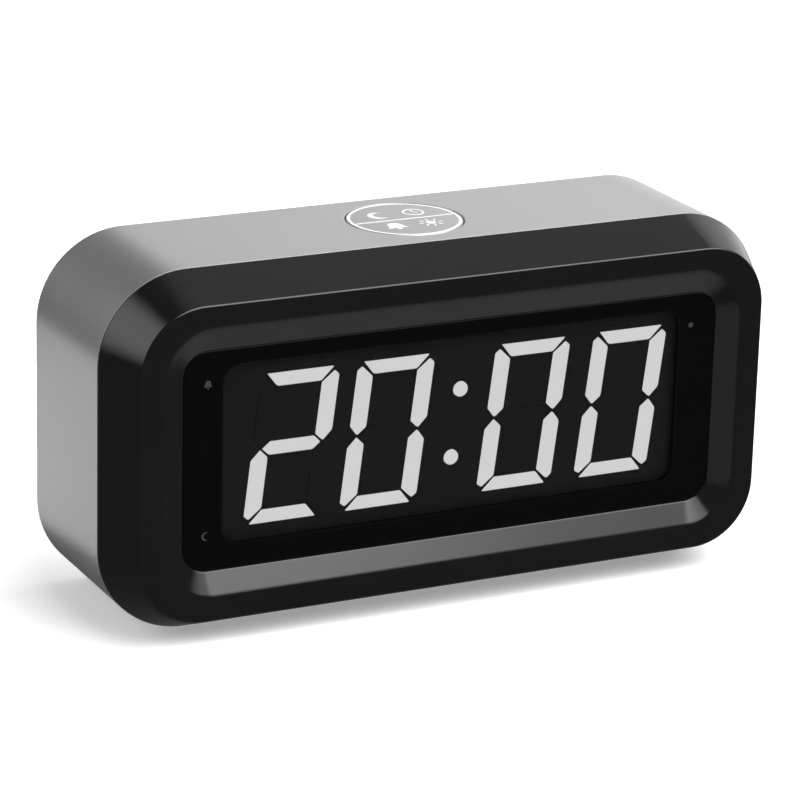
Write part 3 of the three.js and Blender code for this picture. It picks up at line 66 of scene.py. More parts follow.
MM = 0.001
CORNER_STEPS = 20
ROUND_STEPS = 64
HOLE_STEPS = 48
FINE_STEPS = 128
PAST = 1.0
QUARTER_TURNS = (0.0, math.pi / 4, math.pi / 2)
CORNER_SIDES = ((-1, -1), (1, -1), (1, 1), (-1, 1))
SMOOTH_ANGLE = math.radians(16)

Point2 = tuple[float, float]
Point3 = tuple[float, float, float]
Colour = tuple[float, float, float]
Object = bpy.types.Object


class Body(str, Enum):
    """The rigid bodies of the frame."""

    HOUSING = "housing"
    SNOOZE = "snooze"
    TIME = "time_key"
    ALARM = "alarm_key"
    UP = "up_key"
    DOWN = "down_key"
    SLIDE = "alarm_slide"
    DOOR = "door"


# ------------------------------------------------------------------ node building


class Nodes:
    """Adds nodes to one shader, world or geometry tree."""

    def __init__(self, tree: bpy.types.NodeTree) -> None:
        """Takes the tree that every node goes into.

        Args:
            tree: An empty node tree.
        """
        self.tree = tree

    def add(
        self,
        kind: str,
        settings: dict[str, object] | None = None,
        inputs: dict[object, object] | None = None,
        output: int | str = 0,
    ) -> "Wire":
        """Adds a node, sets it up, and then gives its sockets their values or links.

        Args:
            kind: The node's type.
            settings: The node's own properties, set first.
            inputs: Values or wires by the socket's name or number.
            output: Which output the returned wire starts from.

        Returns:
            A wire from the chosen output.
        """
        node = self.tree.nodes.new(kind)
        for key, value in (settings or {}).items():
            setattr(node, key, value)
        for key, value in (inputs or {}).items():
            socket = node.inputs[key]
            if isinstance(value, Wire):
                self.tree.links.new(value.socket, socket)
            else:
                socket.default_value = value
        return Wire(self, node, node.outputs[output] if len(node.outputs) else None)

    def place(self) -> "Wire":
        """The surface point in the clock's frame, in metres."""
        return self.add("ShaderNodeTexCoord", output="Object")

    def axes(self, vector: "Wire") -> tuple["Wire", "Wire", "Wire"]:
        """A vector's three parts, each as a wire."""
        split = self.add("ShaderNodeSeparateXYZ", inputs={0: vector})
        return split, split.other(1), split.other(2)

    def noise(self, vector: "Wire", size_mm: float, detail: float = 2.0) -> "Wire":
        """A noise between 0 and 1.

        Args:
            vector: Where the noise is read.
            size_mm: The width of one patch.
            detail: How many finer layers it has.

        Returns:
            The noise's value.
        """
        settings = {"noise_dimensions": "3D"}
        inputs = {"Vector": vector, "Scale": 1.0 / (size_mm * MM), "Detail": detail}
        return self.add("ShaderNodeTexNoise", settings, inputs)

    def blend(self, factor: "Value", first: object, second: object) -> "Wire":
        """Mixes two colours.

        Args:
            factor: 0 gives the first colour and 1 the second.
            first: A colour or a wire.
            second: A colour or a wire.

        Returns:
            The mixed colour.
        """
        settings = {"data_type": "RGBA", "clamp_factor": True}
        return self.add("ShaderNodeMix", settings, {0: factor, 6: first, 7: second}, output=2)

    def ramp(self, value: "Wire", low: float, high: float) -> "Wire":
        """Rises smoothly from 0 at low to 1 at high; low may be the larger one."""
        settings = {"interpolation_type": "SMOOTHSTEP"}
        inputs = {0: value, 1: low, 2: high, 3: 0.0, 4: 1.0}
        if low > high:
            inputs.update({1: high, 2: low, 3: 1.0, 4: 0.0})
        return self.add("ShaderNodeMapRange", settings, inputs)

    def bump(self, height: "Wire", depth_mm: float) -> "Wire":
        """Turns a height between 0 and 1 into a surface normal."""
        return self.add("ShaderNodeBump", None, {"Height": height, "Distance": depth_mm * MM})


@dataclass(frozen=True)
class Wire:
    """A node's output that takes part in arithmetic by adding Math nodes."""

    nodes: Nodes
    node: bpy.types.Node
    socket: bpy.types.NodeSocket | None

    def other(self, output: int | str) -> "Wire":
        """Another output of the same node."""
        return Wire(self.nodes, self.node, self.node.outputs[output])

    def maths(self, operation: str, *values: "Value") -> "Wire":
        """Adds one Math node whose inputs are the values, in order."""
        inputs = dict(enumerate(values))
        return self.nodes.add("ShaderNodeMath", {"operation": operation}, inputs)

    def __add__(self, other: "Value") -> "Wire":
        """self + other."""
        return self.maths("ADD", self, other)

    def __radd__(self, other: "Value") -> "Wire":
        """other + self."""
        return self.maths("ADD", other, self)

    def __sub__(self, other: "Value") -> "Wire":
        """self - other."""
        return self.maths("SUBTRACT", self, other)

    def __rsub__(self, other: "Value") -> "Wire":
        """other - self."""
        return self.maths("SUBTRACT", other, self)

    def __mul__(self, other: "Value") -> "Wire":
        """self * other."""
        return self.maths("MULTIPLY", self, other)

    def __rmul__(self, other: "Value") -> "Wire":
        """other * self."""
        return self.maths("MULTIPLY", other, self)

    def __abs__(self) -> "Wire":
        """The size of self without its sign."""
        return self.maths("ABSOLUTE", self)

    def least(self, other: "Value") -> "Wire":
        """The smaller of the two."""
        return self.maths("MINIMUM", self, other)

    def most(self, other: "Value") -> "Wire":
        """The larger of the two."""
        return self.maths("MAXIMUM", self, other)

    def root(self) -> "Wire":
        """The square root."""
        return self.maths("SQRT", self)

    def above(self, limit: float) -> "Wire":
        """1 where self is over the limit, 0 elsewhere."""
        return self.maths("GREATER_THAN", self, limit)


Value = Union[float, Wire]


# ------------------------------------------------------------------ finishes


@dataclass(frozen=True)
class Finish:
    """A surface finish with one Principled shader."""

    name: str

    def shade(self, nodes: Nodes) -> dict[str, object]:
        """The Principled shader's inputs.

        Args:
            nodes: The material's tree.

        Returns:
            Values or wires by socket name.
        """
        raise NotImplementedError

    def material(self) -> bpy.types.Material:
        """The finish's material, made once."""
        name = f"{self.name}_finish"
        found = bpy.data.materials.get(name)
        if found:
            return found
        made = bpy.data.materials.new(name)
        made.use_nodes = True
        made.node_tree.nodes.clear()
        nodes = Nodes(made.node_tree)
        shader = nodes.add("ShaderNodeBsdfPrincipled", None, self.shade(nodes))
        nodes.add("ShaderNodeOutputMaterial", None, {"Surface": shader})
        return made


@dataclass(frozen=True)
class Moulded(Finish):
    """Moulded or painted plastic and rubber: a fine grain, soft patches of gloss and pale rubs."""

    colour: Colour = (0.02, 0.02, 0.02)
    roughness: float = 0.45
    gloss_patches: float = 0.05
    grain_mm: float = 0.25
    grain_depth_mm: float = 0.006
    metallic: float = 0.0
    specular: float = 0.5
    tone_patches: float = 0.04
    patch_mm: float = 18.0

    def shade(self, nodes: Nodes) -> dict[str, object]:
        """Grain in the normal, patches in the roughness and tone."""
        place = nodes.place()
        patches = nodes.noise(place, self.patch_mm, 3.0)
        grain = nodes.noise(place, self.grain_mm, 1.0)
        pale = tuple(min(1.0, part * (1 + self.tone_patches) + 0.0005) for part in self.colour)
        deep = tuple(part * (1 - self.tone_patches) for part in self.colour)
        return {
            "Base Color": nodes.blend(patches, (*deep, 1.0), (*pale, 1.0)),
            "Roughness": self.roughness + self.gloss_patches * (patches - 0.5),
            "Metallic": self.metallic,
            "Specular IOR Level": self.specular,
            "Normal": nodes.bump(grain, self.grain_depth_mm),
        }


@dataclass(frozen=True)
class PolishedBlack(Finish):
    """Piano-black moulding: a deep colour, a slight swirl of wiping marks and soft orange peel."""

    colour: Colour = (0.0035, 0.0035, 0.0037)
    roughness: float = 0.07
    peel_mm: float = 5.0
    peel_depth_mm: float = 0.002
    wipe_mm: float = 26.0
    wipe: float = 0.05

    def shade(self, nodes: Nodes) -> dict[str, object]:
        """Wiping marks in the roughness, orange peel in the normal."""
        place = nodes.place()
        wipes = nodes.noise(place, self.wipe_mm, 4.0)
        peel = nodes.noise(place, self.peel_mm, 0.0)
        deep = (*self.colour, 1.0)
        pale = (*(part * 1.6 for part in self.colour), 1.0)
        return {
            "Base Color": nodes.blend(wipes, deep, pale),
            "Roughness": self.roughness + self.wipe * wipes,
            "Specular IOR Level": 0.5,
            "Normal": nodes.bump(peel, self.peel_depth_mm),
        }


@dataclass(frozen=True)
class SmokedLens(Finish):
    """Acrylic sheet printed black behind, but for a smoked window with rounded corners."""

    window_half_width: float = 50.4
    window_half_height: float = 18.2
    window_radius: float = 3.6
    window_z: float = 38.0
    edge_mm: float = 0.12
    window_alpha: float = 0.3

    def shade(self, nodes: Nodes) -> dict[str, object]:
        """The window comes from the distance to a rounded rectangle."""
        place = nodes.place()
        x, _, z = nodes.axes(place)
        radius = self.window_radius * MM
        over_x = abs(x) - (self.window_half_width * MM - radius)
        over_z = abs(z - self.window_z * MM) - (self.window_half_height * MM - radius)
        round_x = over_x.most(0.0)
        round_z = over_z.most(0.0)
        outside = (round_x * round_x + round_z * round_z).root()
        distance = outside + over_x.most(over_z).least(0.0) - radius
        edge = self.edge_mm * MM
        window = nodes.ramp(distance, edge, -edge)
        rim = nodes.ramp(abs(distance + edge), 3 * edge, 0.0)
        smudge = nodes.noise(place, 22.0, 4.0)
        printed = nodes.blend(rim, (0.0012, 0.0012, 0.0013, 1.0), (0.008, 0.014, 0.010, 1.0))
        return {
            "Base Color": nodes.blend(window, printed, (0.002, 0.002, 0.002, 1.0)),
            "Roughness": 0.04 + 0.03 * smudge,
            "Specular IOR Level": 0.25,
            "Alpha": 1.0 - (1.0 - self.window_alpha) * window,
        }


@dataclass(frozen=True)
class LitDiffuser(Finish):
    """Milky plastic lit from behind."""

    strength: float = 1.0

    def shade(self, nodes: Nodes) -> dict[str, object]:
        """Faint mottling in the light, as a milky moulding gives."""
        mottle = nodes.noise(nodes.place(), 3.0, 2.0)
        light = nodes.blend(mottle, (0.93, 0.93, 0.93, 1.0), (0.97, 0.97, 0.97, 1.0))
        return {
            "Base Color": (0.02, 0.02, 0.02, 1.0),
            "Roughness": 0.5 + 0.1 * mottle,
            "Emission Color": light,
            "Emission Strength": self.strength,
        }


@dataclass(frozen=True)
class PlatedMetal(Finish):
    """Plated steel with fine drawn lines and dull spots."""

    colour: Colour = (0.62, 0.62, 0.64)
    roughness: float = 0.28

    def shade(self, nodes: Nodes) -> dict[str, object]:
        """Lines in the normal, dull spots in colour and roughness."""
        place = nodes.place()
        spots = nodes.noise(place, 1.6, 4.0)
        lines = nodes.noise(place, 0.12, 1.0)
        dull = tuple(part * 0.72 for part in self.colour)
        return {
            "Base Color": nodes.blend(spots, (*dull, 1.0), (*self.colour, 1.0)),
            "Roughness": self.roughness + 0.2 * (1.0 - spots),
            "Metallic": 1.0,
            "Normal": nodes.bump(lines, 0.004),
        }


@dataclass(frozen=True)
class SolderMask(Finish):
    """Green circuit board with darker tracks under its mask."""

    track_mm: float = 2.4

    def shade(self, nodes: Nodes) -> dict[str, object]:
        """Tracks are bands of a cell pattern, raised a little."""
        place = nodes.place()
        inputs = {"Vector": place, "Scale": 1.0 / (self.track_mm * MM), "Randomness": 0.4}
        cells = nodes.add("ShaderNodeTexVoronoi", {"feature": "DISTANCE_TO_EDGE"}, inputs)
        track = nodes.ramp(cells, 0.16, 0.1)
        return {
            "Base Color": nodes.blend(track, (0.012, 0.09, 0.035, 1.0), (0.03, 0.16, 0.06, 1.0)),
            "Roughness": 0.34 + 0.12 * track,
            "Normal": nodes.bump(track, 0.03),
        }


@dataclass(frozen=True)
class CellJacket(Finish):
    """A dry cell's printed foil: a dark body, a metal band at the nub end and bare ends."""

    band_start: float = 0.72
    bare: float = 0.975

    def shade(self, nodes: Nodes) -> dict[str, object]:
        """Bands follow the distance along the cell, which the mesh carries."""
        along = nodes.add("ShaderNodeAttribute", {"attribute_name": "along"}, output="Fac")
        band = along.above(self.band_start)
        line = along.above(self.band_start - 0.03) - band
        bare = along.above(self.bare) + (1.0 - along.above(1.0 - self.bare))
        scuffs = nodes.noise(nodes.place(), 2.5, 5.0)
        body = nodes.blend(scuffs, (0.012, 0.02, 0.035, 1.0), (0.02, 0.032, 0.055, 1.0))
        copper = nodes.blend(band, body, (0.5, 0.25, 0.12, 1.0))
        lined = nodes.blend(line, copper, (0.75, 0.75, 0.75, 1.0))
        return {
            "Base Color": nodes.blend(bare, lined, (0.6, 0.6, 0.62, 1.0)),
            "Roughness": 0.24 + 0.14 * scuffs,
            "Metallic": (band + bare).least(1.0) * 0.9,
        }


@dataclass(frozen=True)
class Ribbon(Finish):
    """Flat cable: parallel insulated cores, one of them red."""

    core_mm: float = 1.27

    def shade(self, nodes: Nodes) -> dict[str, object]:
        """Each core is a ridge across the strip's width; the grey is painted darker in the grooves
        between cores as shade.
        """
        x, _, _ = nodes.axes(nodes.place())
        turn = 2 * math.pi / (self.core_mm * MM)
        ridge = 0.5 + 0.5 * (x * turn).maths("COSINE", x * turn)
        red = nodes.ramp(x, -0.0206, -0.0209)
        # Painted shade: the grey runs darker in the grooves between cores and lighter on their crests,
        # following the ridge.
        grey = nodes.blend(ridge, (0.16, 0.16, 0.17, 1.0), (0.4, 0.4, 0.41, 1.0))
        return {
            "Base Color": nodes.blend(red, grey, (0.4, 0.03, 0.03, 1.0)),
            "Roughness": 0.45 + 0.1 * ridge,
            "Normal": nodes.bump(ridge, 0.2),
        }


@dataclass(frozen=True)
class PaleFloor(Finish):
    """A matt white surface that glows a little."""

    strength: float = 0.0

    def shade(self, nodes: Nodes) -> dict[str, object]:
        """A faint speckle under an even glow."""
        speckle = nodes.noise(nodes.place(), 3.0, 2.0)
        return {
            "Base Color": nodes.blend(speckle, (0.9, 0.9, 0.9, 1.0), (0.94, 0.94, 0.94, 1.0)),
            "Roughness": 0.9,
            "Specular IOR Level": 0.1,
            "Emission Color": (1.0, 1.0, 1.0, 1.0),
            "Emission Strength": self.strength,
        }


CASE_PAINT = Moulded(
    "case_paint", (0.50, 0.50, 0.505), 0.42, 0.05, 0.22, 0.004, metallic=0.9, tone_patches=0.02
)
PIANO_BLACK = PolishedBlack("piano_black")
INNER_BLACK = Moulded("inner_black", (0.012, 0.012, 0.013), 0.55)
DISPLAY_MASK = Moulded("display_mask", (0.022, 0.022, 0.022), 0.7, 0.06, 0.3, 0.004, specular=0.1)
UNLIT_DIFFUSER = Moulded("unlit_diffuser", (0.0225, 0.0225, 0.0225), 0.7, 0.04, specular=0.1)
LIT_DIFFUSER = LitDiffuser("lit_diffuser", 1.34)
WHITE_INK = Moulded("white_ink", (0.8, 0.8, 0.8), 0.5, 0.05, 0.15, 0.003, tone_patches=0.02)
GREY_INK = Moulded("grey_ink", (0.028, 0.028, 0.028), 0.45, 0.05, 0.15, 0.003)
PALE_INK = Moulded("pale_ink", (0.45, 0.45, 0.45), 0.5, 0.05, 0.15, 0.003)
KEY_BLACK = Moulded("key_black", (0.018, 0.018, 0.019), 0.42, 0.1, 0.3, 0.008)
PART_BLACK = Moulded("part_black", (0.015, 0.015, 0.016), 0.4, 0.1, 0.4, 0.01)
FOOT_RUBBER = Moulded("foot_rubber", (0.022, 0.022, 0.022), 0.85, 0.1, 0.5, 0.02)
TAPE = Moulded("tape_foam", (0.015, 0.015, 0.015), 0.9, 0.05, 0.6, 0.03)
REFLECTOR = Moulded("reflector_white", (0.78, 0.78, 0.75), 0.55, 0.1, 0.4, 0.006)
RED_SHEATH = Moulded("red_sheath", (0.32, 0.02, 0.02), 0.4, 0.1, 0.5, 0.01)
BLACK_SHEATH = Moulded("black_sheath", (0.02, 0.02, 0.02), 0.4, 0.1, 0.5, 0.01)
NICKEL = PlatedMetal("nickel_plate")
ZINC = PlatedMetal("zinc_plate", (0.5, 0.5, 0.51), 0.34)
BOARD = SolderMask("solder_mask")
CELL = CellJacket("cell_jacket")
RIBBON = Ribbon("ribbon_cores")


# ------------------------------------------------------------------ meshes


def linked(name: str, data: bpy.types.ID) -> Object:
    """Puts data into the scene as a new object at the origin."""
    made = bpy.data.objects.new(name, data)
    bpy.context.scene.collection.objects.link(made)
    return made


def made_object(name: str, vertices: Sequence[Point3], faces: Sequence[Sequence[int]]) -> Object:
    """Makes an object at the origin from millimetre points, with its faces pointing out.

    Args:
        name: The object's name.
        vertices: Points in millimetres, in the clock's frame.
        faces: Vertex numbers of each face.

    Returns:
        The object, linked into the scene.
    """
    mesh = bpy.data.meshes.new(name)
    mesh.from_pydata([tuple(part * MM for part in point) for point in vertices], [], list(faces))
    work = bmesh.new()
    work.from_mesh(mesh)
    bmesh.ops.recalc_face_normals(work, faces=work.faces)
    work.to_mesh(mesh)
    work.free()
    return linked(name, mesh)


def rounded_outline(
    half_width: float,
    half_height: float,
    radius: float,
    centre: Point2 = (0.0, 0.0),
    steps: int = CORNER_STEPS,
    holds: Sequence[float] = (0.03, 0.5, 0.97),
) -> list[Point2]:
    """A rectangle with rounded corners, with a few points on each straight to hold it flat.

    Args:
        half_width: Half its size along X.
        half_height: Half its size along Z.
        radius: Of its corners.
        centre: Its middle, in X and Z.
        steps: Facets on each corner.
        holds: Where along each straight the extra points lie, from 0 to 1.

    Returns:
        Points in X and Z, going round once.
    """
    points: list[Point2] = []
    sides = [(1, 1), (-1, 1), (-1, -1), (1, -1)]
    for quarter, (side_x, side_z) in enumerate(sides):
        middle = (
            centre[0] + side_x * (half_width - radius),
            centre[1] + side_z * (half_height - radius),
        )
        for step in range(steps + 1):
            angle = (quarter + step / steps) * math.pi / 2
            points.append((middle[0] + radius * math.cos(angle), middle[1] + radius * math.sin(angle)))
        next_x, next_z = sides[(quarter + 1) % 4]
        goal = (
            centre[0] + next_x * (half_width - radius) + radius * math.cos(angle),
            centre[1] + next_z * (half_height - radius) + radius * math.sin(angle),
        )
        start = points[-1]
        for share in holds:
            points.append(tuple(start[part] + (goal[part] - start[part]) * share for part in (0, 1)))
    return points


def loft(name: str, rings: Sequence[tuple[Sequence[Point2], float]], is_loop: bool) -> Object:
    """Skins outlines of equal point count, each in its own upright plane.

    Args:
        name: The object's name.
        rings: Each outline in X and Z, with its Y.
        is_loop: True joins the last outline to the first; False caps both.

    Returns:
        The closed object.
    """
    count = len(rings[0][0])
    vertices = [(x, y, z) for outline, y in rings for x, z in outline]
    faces: list[Sequence[int]] = []
    for band in range(len(rings) if is_loop else len(rings) - 1):
        here = band * count
        there = ((band + 1) % len(rings)) * count
        for step in range(count):
            beside = (step + 1) % count
            faces.append((here + step, here + beside, there + beside, there + step))
    if not is_loop:
        last = (len(rings) - 1) * count
        faces.append(tuple(range(count)))
        faces.append(tuple(range(last + count - 1, last - 1, -1)))
    return made_object(name, vertices, faces)


def slab(
    name: str,
    half_size: Point2,
    radius: float,
    centre: Point2,
    y_range: Point2,
    fillet: float = 0.0,
    steps: int = 10,
) -> Object:
    """An upright plate with rounded corners and softened front and back edges.

    Args:
        name: The object's name.
        half_size: Half its width and height.
        radius: Of its corners.
        centre: Its middle in X and Z.
        y_range: Its front and back.
        fillet: Of the edges round both faces.
        steps: Facets on each corner.

    Returns:
        The closed object.
    """
    front, back = y_range
    cuts = [0.0] if fillet <= 0 else [0.0, 0.29, 1.0]
    rings = []
    for share in reversed(cuts):
        inset = fillet * (1 - math.sqrt(max(0.0, 1 - share * share))) if fillet > 0 else 0.0
        rings.append((inset, front + fillet * (1 - share)))
    rings += [(inset, back - (y - front)) for inset, y in reversed(rings)]
    return loft(
        name,
        [
            (
                rounded_outline(
                    half_size[0] - inset,
                    half_size[1] - inset,
                    max(radius - inset, 0.05),
                    centre,
                    steps,
                ),
                y,
            )
            for inset, y in rings
        ],
        False,
    )


def block(name: str, low: Point3, high: Point3) -> Object:
    """A plain block between two corners, used to join or cut."""
    ends = (low, high)
    corners = [
        (ends[number & 1][0], ends[number >> 1 & 1][1], ends[number >> 2][2]) for number in range(8)
    ]
    faces = [(0, 1, 3, 2), (4, 6, 7, 5), (0, 4, 5, 1), (2, 3, 7, 6), (0, 2, 6, 4), (1, 5, 7, 3)]
    return made_object(name, corners, faces)


def prism(name: str, outline: Sequence[Point2], y_range: Point2) -> Object:
    """An outline in X and Z given a thickness along Y."""
    return loft(name, [(outline, y_range[0]), (outline, y_range[1])], False)


def lathe(
    name: str,
    profile: Sequence[Point2],
    centre: Point3,
    axis: str,
    steps: int = ROUND_STEPS,
) -> Object:
    """Turns a profile about an axis; it starts and ends on the axis.

    Args:
        name: The object's name.
        profile: Radius and height along the axis, from one end to the other.
        centre: Where the axis passes, and height zero.
        axis: X, Y or Z.
        steps: Facets all round.

    Returns:
        The closed object.
    """

    def placed(radius: float, height: float, angle: float) -> Point3:
        across, up = radius * math.cos(angle), radius * math.sin(angle)
        local = {"X": (height, across, up), "Y": (up, height, across), "Z": (across, up, height)}[axis]
        return tuple(part + offset for part, offset in zip(local, centre))

    vertices: list[Point3] = [placed(0, profile[0][1], 0), placed(0, profile[-1][1], 0)]
    inner = [point for point in profile if point[0] > 1e-6]
    for radius, height in inner:
        vertices += [placed(radius, height, 2 * math.pi * step / steps) for step in range(steps)]
    faces: list[Sequence[int]] = []
    last = 2 + (len(inner) - 1) * steps
    for step in range(steps):
        beside = (step + 1) % steps
        faces.append((0, 2 + beside, 2 + step))
        faces.append((1, last + step, last + beside))
        for ring in range(len(inner) - 1):
            here = 2 + ring * steps
            faces.append((here + step, here + beside, here + steps + beside, here + steps + step))
    return made_object(name, vertices, faces)


def filleted_disc(radius: float, low: float, high: float, fillet: float, steps: int = 5) -> list[Point2]:
    """A turned disc's profile whose upper edge is rounded.

    Args:
        radius: Of the disc.
        low: Height of its underside.
        high: Height of its top.
        fillet: Radius of the upper edge.
        steps: Facets on the edge.

    Returns:
        The profile, from the underside to the top.
    """
    edge = [
        (
            radius - fillet + fillet * math.cos(math.pi / 2 * step / steps),
            high - fillet + fillet * math.sin(math.pi / 2 * step / steps),
        )
        for step in range(steps + 1)
    ]
    return [(0.0, low), (radius, low), *edge, ((radius - fillet) * 0.5, high), (0.0, high)]


def discard(*objects: Object) -> None:
    """Removes helper objects."""
    for each in objects:
        bpy.data.objects.remove(each, do_unlink=True)


def merged(name: str, objects: Sequence[Object]) -> Object:
    """Puts several objects' meshes into one object, keeping their materials.

    Args:
        name: The new object's name.
        objects: What goes in; they are removed.

    Returns:
        The one object.
    """
    mesh = bpy.data.meshes.new(name)
    work = bmesh.new()
    for each in objects:
        start = len(mesh.materials)
        faces_before = len(work.faces)
        work.from_mesh(each.data)
        work.faces.ensure_lookup_table()
        for material in each.data.materials:
            mesh.materials.append(material)
        for index in range(faces_before, len(work.faces)):
            work.faces[index].material_index += start
    work.to_mesh(mesh)
    work.free()
    discard(*objects)
    return linked(name, mesh)


def flattened(piece: Object) -> Object:
    """Turns a piece's modifiers into its plain mesh."""
    graph = bpy.context.evaluated_depsgraph_get()
    mesh = bpy.data.meshes.new_from_object(piece.evaluated_get(graph))
    piece.modifiers.clear()
    piece.data = mesh
    return piece


def combined(piece: Object, others: Iterable[Object], operation: str) -> Object:
    """Joins other solids to a piece or cuts them away, one after another.

    Args:
        piece: What stays.
        others: The solids; they are removed.
        operation: UNION or DIFFERENCE.

    Returns:
        The piece.
    """
    tools = list(others)
    for each in tools:
        modifier = piece.modifiers.new("shape", "BOOLEAN")
        modifier.operation = operation
        modifier.solver = "EXACT"
        modifier.object = each
    flattened(piece)
    discard(*tools)
    return piece


def coated(piece: Object, finish: Finish) -> Object:
    """Gives the whole piece one finish."""
    piece.data.materials.clear()
    piece.data.materials.append(finish.material())
    return piece


def fitted(
    piece: Object,
    body: Body,
    replaces: Sequence[str] = (),
    finish: Finish | None = None,
) -> Object:
    """Finishes a piece: smooth faces, its body and the frame nodes that it stands for.

    Args:
        piece: The piece, in place.
        body: What it rides on.
        replaces: Frame nodes that it stands for.
        finish: Its finish, unless its materials are already set.

    Returns:
        The piece.
    """
    if finish is not None:
        coated(piece, finish)
    piece.data.shade_smooth()
    piece.data.set_sharp_from_angle(angle=SMOOTH_ANGLE)
    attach(piece, body.value)
    if replaces:
        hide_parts(*replaces)
    LOG.info("%s rides on %s, %d faces", piece.name, body.value, len(piece.data.polygons))
    return piece


# ------------------------------------------------------------------ shared sizes


@dataclass(frozen=True)
class Case:
    """The clock's overall sizes; depths run back from the front rim, insets in from the outside."""

    width: float = 146.0
    height: float = 73.4
    depth: float = 44.2
    corner: float = 18.3
    bottom: float = 0.5
    wall: float = 2.2
    back_wall: float = 2.6
    back_edge: float = 1.2
    seam_depth: float = 10.7
    seam_gap: float = 0.3
    gap: float = 0.25
    boss_x: float = 62.0
    boss_rise: float = 24.0
    control_z: float = 55.55
    rear_y: float = 5.35
    foot_spacing: Point2 = (98.0, 17.5)
    bay_bottom: float = 7.4
    bay_top: float = 37.8
    bay_half_width: float = 54.375
    door_lap: float = 1.4

    @property
    def middle(self) -> float:
        """The height of the case's middle."""
        return self.bottom + self.height / 2

    @property
    def top(self) -> float:
        """The height of the case's top."""
        return self.bottom + self.height

    @property
    def back_inside(self) -> float:
        """The depth of the back wall's inner face."""
        return self.depth - self.back_wall

    @property
    def screw_places(self) -> list[Point2]:
        """Where the four case screws sit, in X and Z."""
        rise = self.boss_rise
        return [(side_x * self.boss_x, self.middle + side_z * rise) for side_x, side_z in CORNER_SIDES]

    def y(self, depth: float) -> float:
        """A depth's place along Y."""
        return depth - self.depth / 2

    def section(
        self, inset: float, depth: float, corner: float | None = None, cut: float = 0.0
    ) -> "Section":
        """A section of the case at an inset and a depth.

        Args:
            inset: In from the case's outside.
            depth: Back from the front rim.
            corner: Its corner radius, or None for one that follows the case.
            cut: How much of each side goes into rounding the profile there.

        Returns:
            The section.
        """
        radius = max(self.corner - inset, 0.5) if corner is None else corner
        half = (self.width / 2 - inset, self.height / 2 - inset)
        return Section(half[0], half[1], self.middle, radius, self.y(depth), cut)


@dataclass(frozen=True)
class Section:
    """One rounded rectangle of a shell: its half sizes, middle height, corner radius and Y."""

    half_width: float
    half_height: float
    middle: float
    corner: float
    y: float
    cut: float = 0.0

    def towards(self, other: "Section", share: float) -> "Section":
        """The section a share of the way to another one."""
        mine = (self.half_width, self.half_height, self.middle, self.corner, self.y)
        theirs = (other.half_width, other.half_height, other.middle, other.corner, other.y)
        return Section(*(a + (b - a) * share for a, b in zip(mine, theirs)))

    def distance(self, other: "Section") -> float:
        """How far apart the two lie in the profile."""
        return math.hypot(self.half_height - other.half_height, self.y - other.y)

    def outline(self, steps: int = CORNER_STEPS) -> list[Point2]:
        """Its points in X and Z."""
        half = (self.half_width, self.half_height)
        return rounded_outline(half[0], half[1], self.corner, (0.0, self.middle), steps)


def rounded_profile(sections: Sequence[Section], is_loop: bool, steps: int = 6) -> list[Section]:
    """Rounds a profile's corners and puts a holding section beside each rounding.

    Args:
        sections: The profile's corners, each with its cut.
        is_loop: True if the last leads back to the first.
        steps: Facets across each rounding.

    Returns:
        Every section of the rounded profile.
    """
    rounded: list[Section] = []
    hold = 0.08
    for index, section in enumerate(sections):
        is_end = not is_loop and index in (0, len(sections) - 1)
        if section.cut <= 0 or is_end:
            rounded.append(section)
            continue
        before = sections[index - 1]
        after = sections[(index + 1) % len(sections)]
        back, ahead = section.distance(before), section.distance(after)
        rounded.append(section.towards(before, (section.cut + hold) / back))
        start = section.towards(before, section.cut / back)
        end = section.towards(after, section.cut / ahead)
        for step in range(steps + 1):
            share = step / steps
            first, second = start.towards(section, share), section.towards(end, share)
            rounded.append(first.towards(second, share))
        rounded.append(section.towards(after, (section.cut + hold) / ahead))
    return rounded


def shell(name: str, sections: Sequence[Section], is_loop: bool) -> Object:
    """Skins a rounded profile."""
    rings = [(each.outline(), each.y) for each in rounded_profile(sections, is_loop)]
    return loft(name, rings, is_loop)


def circle(radius: float, centre: Point2, steps: int = ROUND_STEPS) -> list[Point2]:
    """Points round a circle."""
    turns = [2 * math.pi * step / steps for step in range(steps)]
    return [(centre[0] + radius * math.cos(turn), centre[1] + radius * math.sin(turn)) for turn in turns]


def rod(radius: float, place: Point2, y_range: Point2, steps: int = 32) -> Object:
    """A round bar along Y, used to join or cut."""
    return prism("rod", circle(radius, place, steps), y_range)


def flared(outline_at: Callable[[float], list[Point2]], y_range: Point2, flare: float) -> Object:
    """A cutter that opens out where it leaves the back face, to round the hole's edge.

    Args:
        outline_at: Gives the hole's outline grown by an amount.
        y_range: From the hole's floor to the face it opens in.
        flare: The rounding of its edge.

    Returns:
        The cutter.
    """
    floor, face = y_range
    rings = [(outline_at(0.0), floor)]
    for turn in QUARTER_TURNS:
        rings.append((outline_at(flare * (1 - math.cos(turn))), face - flare * (1 - math.sin(turn))))
    rings.append((outline_at(flare), face + PAST))
    return loft("cutter", rings, False)


def round_cutter(radius: float, place: Point2, y_range: Point2, flare: float) -> Object:
    """A round cutter whose edge is eased where it opens."""
    return flared(lambda grow: circle(radius + grow, place, HOLE_STEPS), y_range, flare)


def plate_cutter(
    half_size: Point2,
    corner: float,
    place: Point2,
    y_range: Point2,
    flare: float,
    steps: int,
) -> Object:
    """A cutter with rounded corners whose edges are eased where it opens.

    Args:
        half_size: Half its width and height.
        corner: Radius of its corners.
        place: Its middle in X and Z.
        y_range: From its floor to the face it opens in.
        flare: The rounding of its edge.
        steps: Facets on each corner.

    Returns:
        The cutter.
    """

    def grown(amount: float) -> list[Point2]:
        width, height = (half + amount for half in half_size)
        return rounded_outline(width, height, corner + amount, place, steps)

    return flared(grown, y_range, flare)


